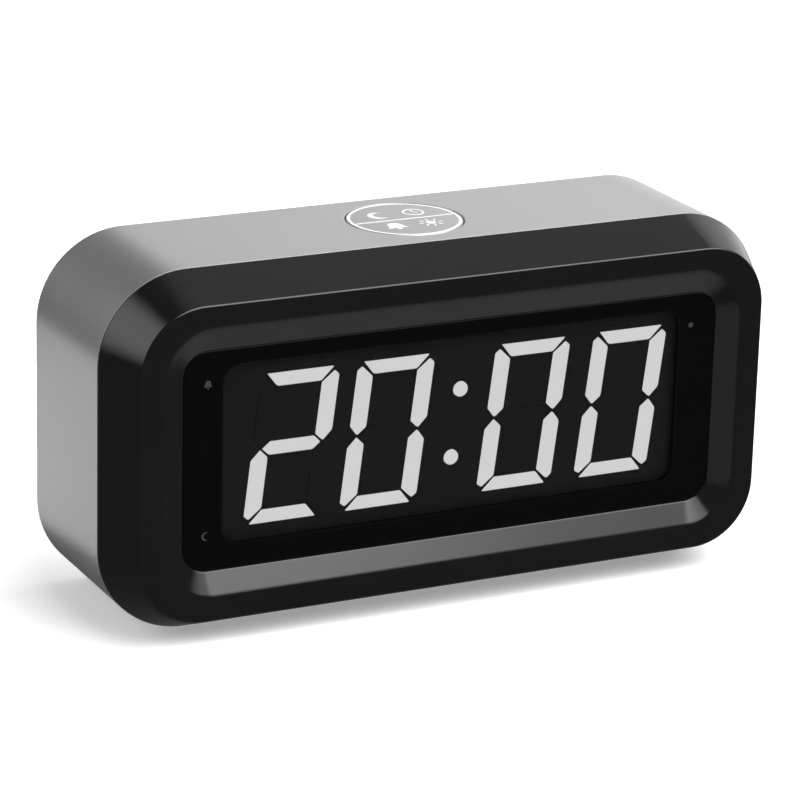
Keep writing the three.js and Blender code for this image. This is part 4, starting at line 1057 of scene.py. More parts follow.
def printed(
    name: str,
    outlines: Sequence[Sequence[Point2]],
    place: Callable[[Point2, float], Point3],
    levels: Point2,
) -> Object:
    """Thin raised ink, patch by patch.

    Args:
        name: The object's name.
        outlines: Each patch's outline.
        place: Puts a flat point and a level into the clock's frame.
        levels: The ink's underside and top.

    Returns:
        The ink as one mesh.
    """
    vertices: list[Point3] = []
    faces: list[Sequence[int]] = []
    for outline in outlines:
        start = len(vertices)
        count = len(outline)
        for level in levels:
            vertices += [place(point, level) for point in outline]
        faces.append(tuple(range(start, start + count)))
        faces.append(tuple(range(start + 2 * count - 1, start + count - 1, -1)))
        for step in range(count):
            beside = (step + 1) % count
            faces.append((start + step, start + beside, start + count + beside, start + count + step))
    return made_object(name, vertices, faces)


def band(outer: Sequence[Point2], inner: Sequence[Point2]) -> list[Sequence[Point2]]:
    """The area between two outlines of equal count, as four-sided patches."""
    count = len(outer)
    return [
        (outer[step], outer[(step + 1) % count], inner[(step + 1) % count], inner[step])
        for step in range(count)
    ]


def strokes(points: Sequence[Point2], width: float) -> list[Sequence[Point2]]:
    """A line of some width through points, as four-sided patches."""
    patches = []
    for start, end in zip(points, points[1:]):
        along = Vector((end[0] - start[0], end[1] - start[1])).normalized()
        side = Vector((-along.y, along.x)) * width / 2
        reach = along * width * 0.2
        first, last = Vector(start) - reach, Vector(end) + reach
        patches.append([tuple(end) for end in (first + side, first - side, last - side, last + side)])
    return patches


# ------------------------------------------------------------------ pictograms


class Pictogram:
    """Small plain signs drawn in a square from -1 to 1."""

    @staticmethod
    def bell() -> list[Sequence[Point2]]:
        """An alarm bell with its clapper."""
        turns = [step / 10 * math.pi for step in range(11)]
        dome = [(0.62 * math.cos(turn), 0.15 + 0.72 * math.sin(turn)) for turn in turns]
        body = [(0.92, -0.52), (0.66, -0.22), *dome, (-0.66, -0.22), (-0.92, -0.52)]
        clapper = circle(0.2, (0.0, -0.76), 12)
        return [body, clapper]

    @staticmethod
    def moon() -> list[Sequence[Point2]]:
        """A crescent."""
        steps = 14
        outer = [math.radians(50 + 260 * step / steps) for step in range(steps + 1)]
        inner = [math.radians(64 + 232 * step / steps) for step in range(steps + 1)]
        outside = [(0.9 * math.cos(t), 0.9 * math.sin(t)) for t in outer]
        inside = [(0.34 + 0.75 * math.cos(t), 0.75 * math.sin(t)) for t in inner]
        inside[0], inside[-1] = outside[0], outside[-1]
        patches = [
            (outside[step], outside[step + 1], inside[step + 1], inside[step])
            for step in range(1, steps - 1)
        ]
        return [(outside[0], outside[1], inside[1]), *patches, (outside[-2], outside[-1], inside[-2])]

    @staticmethod
    def clock() -> list[Sequence[Point2]]:
        """A dial with two hands."""
        dial = band(circle(0.92, (0, 0), 28), circle(0.74, (0, 0), 28))
        return dial + strokes([(0.0, 0.5), (0.0, 0.0), (0.36, -0.18)], 0.16)

    @staticmethod
    def up() -> list[Sequence[Point2]]:
        """An arrowhead pointing up."""
        return [[(-0.8, -0.55), (0.8, -0.55), (0.0, 0.75)]]

    @staticmethod
    def down() -> list[Sequence[Point2]]:
        """An arrowhead pointing down."""
        return [[(-0.8, 0.55), (0.0, -0.75), (0.8, 0.55)]]

    @staticmethod
    def dot() -> list[Sequence[Point2]]:
        """A full dot."""
        return [circle(0.55, (0, 0), 20)]

    @staticmethod
    def lamp() -> list[Sequence[Point2]]:
        """A light: a disc with rays."""
        rays: list[Sequence[Point2]] = []
        for step in range(8):
            turn = step * math.pi / 4
            ends = [(r * math.cos(turn), r * math.sin(turn)) for r in (0.66, 0.98)]
            rays += strokes(ends, 0.15)
        return [circle(0.42, (0, 0), 20), *rays]

    @staticmethod
    def sized(
        outlines: Iterable[Sequence[Point2]], half: float, centre: Point2
    ) -> list[Sequence[Point2]]:
        """A sign at its real size and place."""
        return [[(centre[0] + half * x, centre[1] + half * z) for x, z in each] for each in outlines]


def on_top(point: Point2, level: float) -> Point3:
    """A flat point on a surface that faces up."""
    return (point[0], point[1], level)


def on_front(point: Point2, level: float) -> Point3:
    """A flat point on a surface that faces forwards."""
    return (point[0], level, point[1])


def on_back(point: Point2, level: float) -> Point3:
    """A flat point on a surface that faces backwards, read from behind."""
    return (-point[0], level, point[1])


# ------------------------------------------------------------------ repeated parts


@dataclass(frozen=True)
class Pattern:
    """Repeats a mesh with Geometry Nodes and turns the result into one plain mesh."""

    name: str
    seed: int = 3

    def corners(self, unit: Object, spacing: Point2, turn: float, finish: Finish) -> Object:
        """Puts the unit at the four corners of a level rectangle or an upright one.

        Args:
            unit: What repeats, built about the origin, facing along its own Z.
            spacing: The rectangle's width and height.
            turn: Tilts the rectangle about X, in radians.
            finish: The finish of every copy.

        Returns:
            The unit's object with all copies in its mesh.
        """
        tree, nodes, source = self._start({"Width": spacing[0], "Height": spacing[1], "Tilt": turn})
        sizes = {"Size X": source.other("Width"), "Size Y": source.other("Height")}
        grid = nodes.add("GeometryNodeMeshGrid", None, {**sizes, "Vertices X": 2, "Vertices Y": 2})
        limits = {"Min": (0.0, 0.0, 0.0), "Max": (0.0, 0.0, 2 * math.pi), "Seed": self.seed}
        spin = nodes.add("FunctionNodeRandomValue", {"data_type": "FLOAT_VECTOR"}, limits)
        placed = {"Points": grid, "Instance": source, "Rotation": spin}
        copies = nodes.add("GeometryNodeInstanceOnPoints", None, placed)
        tilt = nodes.add("ShaderNodeCombineXYZ", None, {"X": source.other("Tilt")})
        tilted = nodes.add("GeometryNodeTransform", None, {"Geometry": copies, "Rotation": tilt})
        return self._finish(tree, nodes, tilted, unit, finish)

    def rings(self, unit: Object, pitch: float, finish: Finish) -> Object:
        """Puts the unit at a middle point and on rings of six and twelve about it.

        Args:
            unit: What repeats.
            pitch: From one ring to the next.
            finish: The finish of every copy.

        Returns:
            The unit's object with all copies in its mesh.
        """
        tree, nodes, source = self._start({"Pitch": pitch})
        first = source.other("Pitch")
        inner = nodes.add("GeometryNodeMeshCircle", None, {"Vertices": 6, "Radius": first})
        outer = nodes.add("GeometryNodeMeshCircle", None, {"Vertices": 12, "Radius": first * 2.0})
        middle = nodes.add("GeometryNodeMeshLine", None, {"Count": 1})
        joined = nodes.add("GeometryNodeJoinGeometry")
        for each in (middle, outer, inner):
            tree.links.new(each.socket, joined.node.inputs[0])
        copies = nodes.add("GeometryNodeInstanceOnPoints", None, {"Points": joined, "Instance": source})
        return self._finish(tree, nodes, copies, unit, finish)

    def row(self, unit: Object, count: int, pitch: Point3, finish: Finish) -> Object:
        """Puts the unit at even steps along a line.

        Args:
            unit: What repeats.
            count: How many.
            pitch: From one to the next.
            finish: The finish of every copy.

        Returns:
            The unit's object with all copies in its mesh.
        """
        tree, nodes, source = self._start({"Count": count, "Pitch": 1.0})
        step = tuple(part * MM for part in pitch)
        scaled = {0: step, "Scale": source.other("Pitch")}
        offset = nodes.add("ShaderNodeVectorMath", {"operation": "SCALE"}, scaled)
        inputs = {"Count": source.other("Count"), "Offset": offset}
        line = nodes.add("GeometryNodeMeshLine", None, inputs)
        copies = nodes.add("GeometryNodeInstanceOnPoints", None, {"Points": line, "Instance": source})
        return self._finish(tree, nodes, copies, unit, finish)

    def _start(self, sizes: dict[str, float | int]) -> tuple[bpy.types.NodeTree, Nodes, Wire]:
        """Makes a tree with a geometry input and one named input for each size."""
        tree = bpy.data.node_groups.new(self.name, "GeometryNodeTree")
        tree.interface.new_socket("Geometry", in_out="INPUT", socket_type="NodeSocketGeometry")
        for key, value in sizes.items():
            kind = "NodeSocketInt" if isinstance(value, int) else "NodeSocketFloat"
            tree.interface.new_socket(key, in_out="INPUT", socket_type=kind)
        tree.interface.new_socket("Geometry", in_out="OUTPUT", socket_type="NodeSocketGeometry")
        tree["sizes"] = sizes
        nodes = Nodes(tree)
        return tree, nodes, nodes.add("NodeGroupInput")

    def _finish(
        self,
        tree: bpy.types.NodeTree,
        nodes: Nodes,
        copies: Wire,
        unit: Object,
        finish: Finish,
    ) -> Object:
        """Realizes the copies, sets their material and makes the mesh.

        Args:
            tree: The node tree.
            nodes: Its builder.
            copies: The instances.
            unit: The object the modifier goes on.
            finish: The copies' finish.

        Returns:
            The unit's object.
        """
        real = nodes.add("GeometryNodeRealizeInstances", None, {"Geometry": copies})
        material = finish.material()
        inputs = {"Geometry": real, "Material": material}
        dressed = nodes.add("GeometryNodeSetMaterial", None, inputs)
        nodes.add("NodeGroupOutput", None, {"Geometry": dressed})
        modifier = unit.modifiers.new(self.name, "NODES")
        modifier.node_group = tree
        sizes = tree["sizes"]
        for item in tree.interface.items_tree:
            if item.in_out == "INPUT" and item.name in sizes.keys():
                is_ring_pitch = item.name == "Pitch" and len(sizes) == 1
                is_length = item.name in ("Width", "Height") or is_ring_pitch
                value = sizes[item.name]
                modifier[item.identifier] = value * MM if is_length else value
        return flattened(unit)


def moved(piece: Object, offset: Point3) -> Object:
    """Moves a piece's mesh, leaving its object at the origin."""
    piece.data.transform(Matrix.Translation(Vector(offset) * MM))
    return piece


# ------------------------------------------------------------------ sub-assemblies


@dataclass
class Bezel:
    """The glossy front frame: a chamfer, a flat rim and a recess that slopes in to the lens."""

    case: Case
    rim_inset: float = 4.6
    rim_width: float = 4.5
    rim_outer_corner: float = 13.2
    rim_inner_corner: float = 11.2
    lens_inset: float = 14.2
    lens_corner: float = 5.2
    lens_depth: float = 2.3
    ledge_depth: float = 3.8
    ledge_back: float = 5.9
    opening: Section = Section(51.9, 19.65, 37.9, 1.0, 0.0)
    boss_radius: float = 3.2
    boss_range: Point2 = (1.9, 26.8)
    post_place: Point2 = (54.25, 14.0)
    post_range: Point2 = (5.4, 10.55)
    post_radius: float = 2.1
    boss_sink: Point2 = (0.6, 0.1)
    seam_cut: float = 0.12
    rim_cuts: Point2 = (0.32, 1.0)
    lens_cut: float = 0.24
    back_insets: Point3 = (11.9, 10.1, 6.9)
    skirt_insets: Point2 = (4.55, 2.45)
    skirt_depths: Point2 = (7.5, 13.9)

    def build(self) -> Object:
        """Skins the frame's whole profile, then adds its bosses and posts.

        Returns:
            The bezel piece.
        """
        case = self.case
        at = case.section
        front, back = case.y(self.ledge_depth), case.y(self.ledge_back)
        hole = self.opening
        opening = [
            Section(hole.half_width, hole.half_height, hole.middle, hole.corner, y)
            for y in (front, back)
        ]
        rim_inner = self.rim_inset + self.rim_width
        skirt_in, skirt_out = self.skirt_insets
        skirt_start, skirt_end = self.skirt_depths
        piece = shell(
            "front_bezel_shell",
            [
                at(0.0, case.seam_depth, None, self.seam_cut),
                at(self.rim_inset, 0.0, self.rim_outer_corner, self.rim_cuts[0]),
                at(rim_inner, 0.0, self.rim_inner_corner, self.rim_cuts[1]),
                at(self.lens_inset, self.lens_depth, self.lens_corner, self.lens_cut),
                at(self.lens_inset, self.ledge_depth, self.lens_corner),
                *opening,
                at(self.back_insets[0], self.ledge_back),
                at(self.back_insets[1], self.lens_depth),
                at(self.back_insets[2], self.lens_depth),
                at(skirt_in, skirt_start),
                at(skirt_in, skirt_end),
                at(skirt_out, skirt_end),
                at(skirt_out, case.seam_depth),
            ],
            True,
        )
        start, end = self.boss_range[0] + self.boss_sink[0], self.boss_range[1] - self.boss_sink[1]
        y_range = (case.y(start), case.y(end))
        bosses = [rod(self.boss_radius, place, y_range) for place in case.screw_places]
        posts = [
            rod(
                self.post_radius,
                (side_x * self.post_place[0], hole.middle + side_z * self.post_place[1]),
                (case.y(self.post_range[0]), case.y(self.post_range[1])),
            )
            for side_x in (-1, 1)
            for side_z in (-1, 1)
        ]
        combined(piece, bosses + posts, "UNION")
        return fitted(piece, Body.HOUSING, ["front_bezel"], PIANO_BLACK)


@dataclass
class RearCase:
    """The painted case: a shell with its battery bay, screw wells, sounder ring and every opening."""

    case: Case
    hole_flare: float = 0.25
    bay_wall: float = 1.6
    bay_floor: float = 26.4
    flange: float = 1.2
    flange_reach: float = 2.4
    door_play: float = 0.3
    door_corner: float = 2.0
    hook_x: float = 32.0
    hook_slot: Point2 = (5.1, 2.6)
    hook_slot_reach: Point2 = (2.7, 1.8)
    snooze_hole: float = 12.1
    snooze_cut: float = 3.2
    well_radius: float = 3.2
    well_wall: float = 1.1
    well_floor: float = 28.95
    well_front: float = 27.05
    screw_hole: float = 1.45
    recess: tuple[float, float, float, float] = (15.5, 37.5, 7.5, 3.0)
    recess_depth: float = 1.2
    button_xs: tuple[float, ...] = (-14.0, 0.0, 14.0, 28.0)
    button_hole: float = 4.25
    button_flare: float = 0.15
    slot_half: Point2 = (4.05, 1.95)
    slot_x: float = 43.5
    sounder_x: float = -45.0
    sounder_ring: Point3 = (13.15, 11.75, 5.2)
    sounder_depth: float = 6.5
    sound_hole: float = 0.9
    sound_pitch: float = 3.4
    foot_hole: float = 4.75
    foot_recess: float = 1.0

    def build(self) -> Object:
        """Skins the shell, joins the bay, the wells and the sounder's ring, then cuts the openings.

        Returns:
            The rear case piece.
        """
        case = self.case
        at = case.section
        piece = shell(
            "rear_case_shell",
            [
                at(case.wall, case.back_inside, 16.1),
                at(case.wall, case.seam_depth + case.seam_gap, None, 0.15),
                at(0.0, case.seam_depth + case.seam_gap, None, 0.07),
                at(0.0, case.depth, None, case.back_edge),
                at(case.back_edge + 0.4, case.depth),
            ],
            False,
        )
        combined(piece, self._solids(), "UNION")
        combined(piece, [self._bay_inside(), *self._well_cuts(), self._sounder_seat()], "DIFFERENCE")
        combined(piece, self._openings(), "DIFFERENCE")
        combined(piece, self._through_holes(), "DIFFERENCE")
        return fitted(piece, Body.HOUSING, ["rear_case"], CASE_PAINT)

    def _solids(self) -> list[Object]:
        """The bay's box and flange, the screw wells and the sounder's ring."""
        case, y = self.case, self.case.y
        wall = self.bay_wall
        reach = case.door_lap + self.door_play + self.flange_reach
        flange_front = y(case.back_inside - self.flange)
        inner = y(case.back_inside + 0.1)
        box = block(
            "bay",
            (-case.bay_half_width - wall, y(self.bay_floor - wall), case.bay_bottom - wall),
            (case.bay_half_width + wall, inner, case.bay_top + wall),
        )
        rim = block(
            "flange",
            (-case.bay_half_width - reach, flange_front, case.bay_bottom - reach + wall),
            (case.bay_half_width + reach, inner, case.bay_top + reach - wall),
        )
        wells = [
            rod(self.well_radius + self.well_wall, place, (y(self.well_front), inner))
            for place in case.screw_places
        ]
        radius, _, rise = self.sounder_ring
        place = (self.sounder_x, case.control_z)
        ring = rod(radius, place, (y(case.back_inside - rise), inner), HOLE_STEPS)
        return [box, rim, *wells, ring]

    def _bay_inside(self) -> Object:
        """The battery bay's room."""
        case, y = self.case, self.case.y
        low = (-case.bay_half_width, y(self.bay_floor), case.bay_bottom)
        return block("room", low, (case.bay_half_width, y(case.depth + PAST), case.bay_top))

    def _well_cuts(self) -> list[Object]:
        """The round wells that the case screws sit in."""
        y_range = (self.case.y(self.well_floor), self.case.y(self.case.depth))
        return [
            round_cutter(self.well_radius, place, y_range, self.hole_flare)
            for place in self.case.screw_places
        ]

    def _sounder_seat(self) -> Object:
        """The room inside the sounder's ring."""
        case, y = self.case, self.case.y
        place = (self.sounder_x, case.control_z)
        y_range = (y(case.back_inside - self.sounder_depth), y(case.back_inside))
        return rod(self.sounder_ring[1], place, y_range, HOLE_STEPS)

    def _openings(self) -> list[Object]:
        """The doorway, the control recess, the snooze hole, the foot recesses and hook slots."""
        case, y = self.case, self.case.y
        middle = (0.0, (case.bay_bottom + case.bay_top) / 2)
        half_size = (
            case.bay_half_width + case.door_lap + self.door_play,
            (case.bay_top - case.bay_bottom) / 2 + case.door_lap + self.door_play,
        )
        y_range = (y(case.back_inside), y(case.depth))
        corner = self.door_corner + self.door_play
        doorway = plate_cutter(half_size, corner, middle, y_range, self.hole_flare, 8)
        centre_x, half, rise, corner = self.recess
        place = (centre_x, case.control_z)
        y_range = (y(case.depth - self.recess_depth), y(case.depth))
        recess = plate_cutter((half, rise), corner, place, y_range, self.hole_flare, 10)
        half, thickness = self.hook_slot
        low, high = self.hook_slot_reach
        slots = [
            block(
                "slot",
                (x - half, y(case.back_inside - thickness), case.bay_bottom - case.door_lap - low),
                (x + half, y(case.back_inside + 0.01), case.bay_bottom + high),
            )
            for x in (-self.hook_x, self.hook_x)
        ]
        return [doorway, recess, self._snooze_cut(), *self._foot_cuts(), *slots]

    def _snooze_cut(self) -> Object:
        """The snooze button's hole, with a softened upper edge."""
        flare, radius, top = self.hole_flare, self.snooze_hole, self.case.top
        edge = [
            (radius + flare * (1 - math.cos(turn)), top - flare * (1 - math.sin(turn)))
            for turn in QUARTER_TURNS
        ]
        low, high = top - self.snooze_cut, top + PAST
        profile = [(0.0, low), (radius, low), *edge, (radius + flare, high), (0.0, high)]
        return lathe("cutter", profile, (0.0, self.case.rear_y, 0.0), "Z", FINE_STEPS)

    def _foot_cuts(self) -> list[Object]:
        """The shallow round recesses for the feet."""
        case = self.case
        low, high = case.bottom - PAST, case.bottom + self.foot_recess
        profile = [(0.0, low), (self.foot_hole, low), (self.foot_hole, high), (0.0, high)]
        half_x, half_y = (part / 2 for part in case.foot_spacing)
        places = [(x * half_x, case.rear_y + y * half_y, 0.0) for x, y in CORNER_SIDES]
        return [lathe("cutter", profile, place, "Z", HOLE_STEPS) for place in places]

    def _through_holes(self) -> list[Object]:
        """The button holes, the slide's slot, the sound holes and the screws' clearance holes."""
        case, y = self.case, self.case.y
        floor = y(case.depth - self.recess_depth)
        inner = y(case.back_inside - PAST)
        buttons = [
            round_cutter(self.button_hole, (x, case.control_z), (inner, floor), self.button_flare)
            for x in self.button_xs
        ]
        half_x, half_z = self.slot_half
        slot = block(
            "slot",
            (self.slot_x - half_x, inner, case.control_z - half_z),
            (self.slot_x + half_x, y(case.depth + PAST), case.control_z + half_z),
        )
        y_range = (y(self.well_front - PAST), y(self.well_floor + PAST))
        clearances = [rod(self.screw_hole, place, y_range, 24) for place in case.screw_places]
        radius, reach = self.sound_hole, case.back_wall / 2 + PAST
        profile = [(0.0, -reach), (radius, -reach), (radius, reach), (0.0, reach)]
        unit = lathe("sound_holes", profile, (0.0, 0.0, 0.0), "Z", 20)
        holes = Pattern("perforation").rings(unit, self.sound_pitch, INNER_BLACK)
        holes.data.transform(Matrix.Rotation(math.pi / 2, 4, "X"))
        moved(holes, (self.sounder_x, y(case.depth - case.back_wall / 2), case.control_z))
        return [*buttons, slot, *clearances, holes]


@dataclass
class Lens:
    """The flat lens with its smoked window and three small printed signs."""

    case: Case
    inset: float = 14.3
    corner: float = 5.1
    depths: Point2 = (2.3, 3.3)
    sign_half: float = 1.0
    ink: float = 0.02
    edge_cuts: Point2 = (0.16, 0.1)
    face_inset: float = 0.5

    def build(self) -> None:
        """Makes the lens and its signs."""
        at = self.case.section
        front, back = self.depths
        inside = self.face_inset
        piece = shell(
            "display_lens_sheet",
            [
                at(self.inset + inside, front, self.corner - inside),
                at(self.inset, front, self.corner, self.edge_cuts[0]),
                at(self.inset, back, self.corner, self.edge_cuts[1]),
                at(self.inset + inside, back, self.corner - inside),
            ],
            False,
        )
        fitted(piece, Body.HOUSING, ["display_lens"], SmokedLens("smoked_lens"))
        signs = [
            (Pictogram.bell(), (-53.7, 52.9)),
            (Pictogram.moon(), (-53.9, 22.0)),
            (Pictogram.dot(), (53.1, 52.8)),
        ]
        outlines = [
            each for shape, centre in signs for each in Pictogram.sized(shape, self.sign_half, centre)
        ]
        y = self.case.y(front)
        ink = printed("lens_signs", outlines, on_front, (y - self.ink, y + 0.05))
        fitted(ink, Body.HOUSING, (), GREY_INK)


@dataclass
class Display:
    """Four leaning digits and a colon, lit from behind, in a dark mask."""

    case: Case
    digit_xs: tuple[float, ...] = (-35.25, -14.5, 15.9, 38.15)
    shown: str = "2000"
    middle: float = 37.9
    height: float = 30.5
    width: float = 16.8
    slant: float = 0.118
    upright: float = 3.5
    level: float = 2.7
    gap: float = 0.47
    nip: float = 1.3
    shift: float = 0.7
    colon_radius: float = 1.55
    colon_rise: float = 7.05
    face_depth: float = 3.62
    bar_back: float = 5.6
    back_depths: Point2 = (4.95, 5.8)
    back_half: Point2 = (10.2, 15.72)
    colon_back: Point2 = (-3.3, 5.3)
    mask_depth: float = 3.72
    mask_back: float = 4.55
    mask_half: Point2 = (51.5, 19.25)
    mask_cut_back: float = 5.5
    dot_play: float = 0.1

    LIT = {"2": (0, 5, 2, 4, 1), "0": (0, 1, 3, 4, 5, 6)}

    def segments(self) -> list[list[Point2]]:
        """The seven upright bars: top, bottom, middle, left pair, right pair."""
        w, h, half = self.width, self.height, self.height / 2
        slope, step = self.level / self.upright, self.gap / 2
        top = [
            (self.nip, h),
            (self.upright + step, h - self.level),
            (w - self.upright - step, h - self.level),
            (w - self.nip, h),
        ]
        side = [
            (0.0, h - self.nip - self.gap),
            (0.0, half + self.level / 2 + 2 * self.gap),
            (self.upright / 2, half + step),
            (self.upright, half + self.level / 2 + self.gap),
            (self.upright, h - self.level - self.gap),
            (self.nip * slope, h - self.nip * slope + self.gap / 8),
        ]
        middle = [
            (self.upright / 2 + self.gap, half),
            (self.upright + step, half - self.level / 2),
            (w - self.upright - step, half - self.level / 2),
            (w - self.upright / 2 - self.gap, half),
            (w - self.upright - step, half + self.level / 2),
            (self.upright + step, half + self.level / 2),
        ]

        def across(points: list[Point2]) -> list[Point2]:
            return [(w - x, z) for x, z in reversed(points)]

        def over(points: list[Point2]) -> list[Point2]:
            return [(x, h - z) for x, z in reversed(points)]

        return [top, over(top), middle, side, over(side), across(side), across(over(side))]

    def leaned(self, points: Sequence[Point2], x: float) -> list[Point2]:
        """Leans an upright outline and moves it to a digit's place."""
        half = self.height / 2
        start = x - self.width / 2
        return [(start + px + self.slant * (pz - half), self.middle + pz - half) for px, pz in points]

    def build(self) -> None:
        """Makes the digits, the colon and the mask."""
        y = self.case.y
        levels = (y(self.face_depth), y(self.bar_back))
        for index, (x, figure) in enumerate(zip(self.digit_xs, self.shown)):
            lit = self.LIT[figure]
            bars = [(self.leaned(bar, x), number in lit) for number, bar in enumerate(self.segments())]
            parts = []
            for is_lit, finish in ((True, LIT_DIFFUSER), (False, UNLIT_DIFFUSER)):
                outlines = [self.softened_outline(bar) for bar, state in bars if state is is_lit]
                if outlines:
                    parts.append(coated(printed("bars", outlines, on_front, levels), finish))
            parts.append(self._back((x - self.back_half[0], x + self.back_half[0])))
            piece = merged(f"digit_{index + 1}", parts)
            fitted(piece, Body.HOUSING, [f"digit_diffuser_{index + 1}"])
        self._build_colon(levels)
        self._build_mask()

    def softened_outline(self, points: Sequence[Point2], cut: float = 0.32) -> list[Point2]:
        """Rounds an outline's corners a little."""
        rounded: list[Point2] = []
        for index, point in enumerate(points):
            here = Vector(point)
            before, after = Vector(points[index - 1]), Vector(points[(index + 1) % len(points)])
            room = min((before - here).length, (after - here).length) * 0.35
            reach = min(cut, room)
            start = here + (before - here).normalized() * reach
            end = here + (after - here).normalized() * reach
            rounded += [tuple(start), tuple((start + end + 2 * here) / 4), tuple(end)]
        return rounded

    def _back(self, x_range: Point2) -> Object:
        """The unlit plate behind one figure."""
        front, back = (self.case.y(depth) for depth in self.back_depths)
        half = self.back_half[1]
        plate = block(
            "back", (x_range[0], front, self.middle - half), (x_range[1], back, self.middle + half)
        )
        return coated(plate, UNLIT_DIFFUSER)

    def _dot_places(self) -> list[Point2]:
        """Where the colon's two dots sit, in X and Z."""
        rise, lean = self.colon_rise, self.slant * self.colon_rise
        return [(self.shift + side * lean, self.middle + side * rise) for side in (-1, 1)]

    def _build_colon(self, levels: Point2) -> None:
        """Makes the colon's two dots."""
        dots = [circle(self.colon_radius, place, 40) for place in self._dot_places()]
        lit = coated(printed("dots", dots, on_front, levels), LIT_DIFFUSER)
        piece = merged("colon", [lit, self._back(self.colon_back)])
        fitted(piece, Body.HOUSING, ["colon_diffuser"])

    def _build_mask(self) -> None:
        """Makes the mask with a window round every bar and dot."""
        y = self.case.y
        y_range = (y(self.mask_depth), y(self.mask_back))
        mask = slab("mask", self.mask_half, 1.0, (0.0, self.middle), y_range, 0.0, 4)
        reach = (y(self.mask_depth - PAST), y(self.mask_cut_back))
        cutters = [
            prism("cutter", self.grown(self.leaned(bar, x)), reach)
            for x in self.digit_xs
            for bar in self.segments()
        ]
        radius = self.colon_radius + self.dot_play
        cutters += [rod(radius, place, reach) for place in self._dot_places()]
        combined(mask, cutters, "DIFFERENCE")
        mask.name = "display_mask"
        fitted(mask, Body.HOUSING, ["segment_mask"], DISPLAY_MASK)

    @staticmethod
    def grown(points: Sequence[Point2], amount: float = 0.08) -> list[Point2]:
        """Moves an outline's points out from its middle."""
        middle = sum((Vector(point) for point in points), Vector((0, 0))) / len(points)
        return [tuple(Vector(p) + (Vector(p) - middle).normalized() * amount) for p in points]


@dataclass
class SnoozeButton:
    """The round key in the case's top, with its printed ring and signs."""

    case: Case
    radius: float = 11.9
    sink: float = 0.04
    edge: float = 0.3
    flange_radius: float = 13.1
    flange: Point2 = (70.25, 71.45)
    stem: Point2 = (1.6, 68.65)
    ring_radius: float = 11.3
    line: float = 0.62
    sign_half: float = 2.5
    sign_x: float = 3.9
    sign_y: float = 4.1
    ink: float = 0.03

    def build(self) -> None:
        """Makes the key and its print."""
        top, y = self.case.top - self.sink, self.case.rear_y
        rounding = filleted_disc(self.radius, self.flange[1], top, self.edge)[1:]
        profile = [
            (0.0, self.stem[1]),
            (self.stem[0], self.stem[1]),
            (self.stem[0], self.flange[0]),
            (self.flange_radius, self.flange[0]),
            (self.flange_radius, self.flange[1]),
            *rounding,
        ]
        key = lathe("snooze_key", profile, (0.0, y, 0.0), "Z", FINE_STEPS)
        fitted(key, Body.SNOOZE, ["snooze_button"], CASE_PAINT)
        outer, inner = (
            circle(self.ring_radius + side * self.line / 2, (0.0, y), FINE_STEPS) for side in (1, -1)
        )
        half = self.ring_radius - self.line
        patches = [*band(outer, inner), *strokes([(-half, y), (half, y)], self.line * 0.8)]
        signs = (
            (Pictogram.moon, -1, 1),
            (Pictogram.clock, 1, 1),
            (Pictogram.bell, -1, -1),
            (Pictogram.lamp, 1, -1),
        )
        for sign, side_x, side_y in signs:
            place = (side_x * self.sign_x, y + side_y * self.sign_y)
            patches += Pictogram.sized(sign(), self.sign_half, place)
        ink = printed("snooze_print", patches, on_top, (top - 0.02, top + self.ink))
        fitted(ink, Body.SNOOZE, (), WHITE_INK)


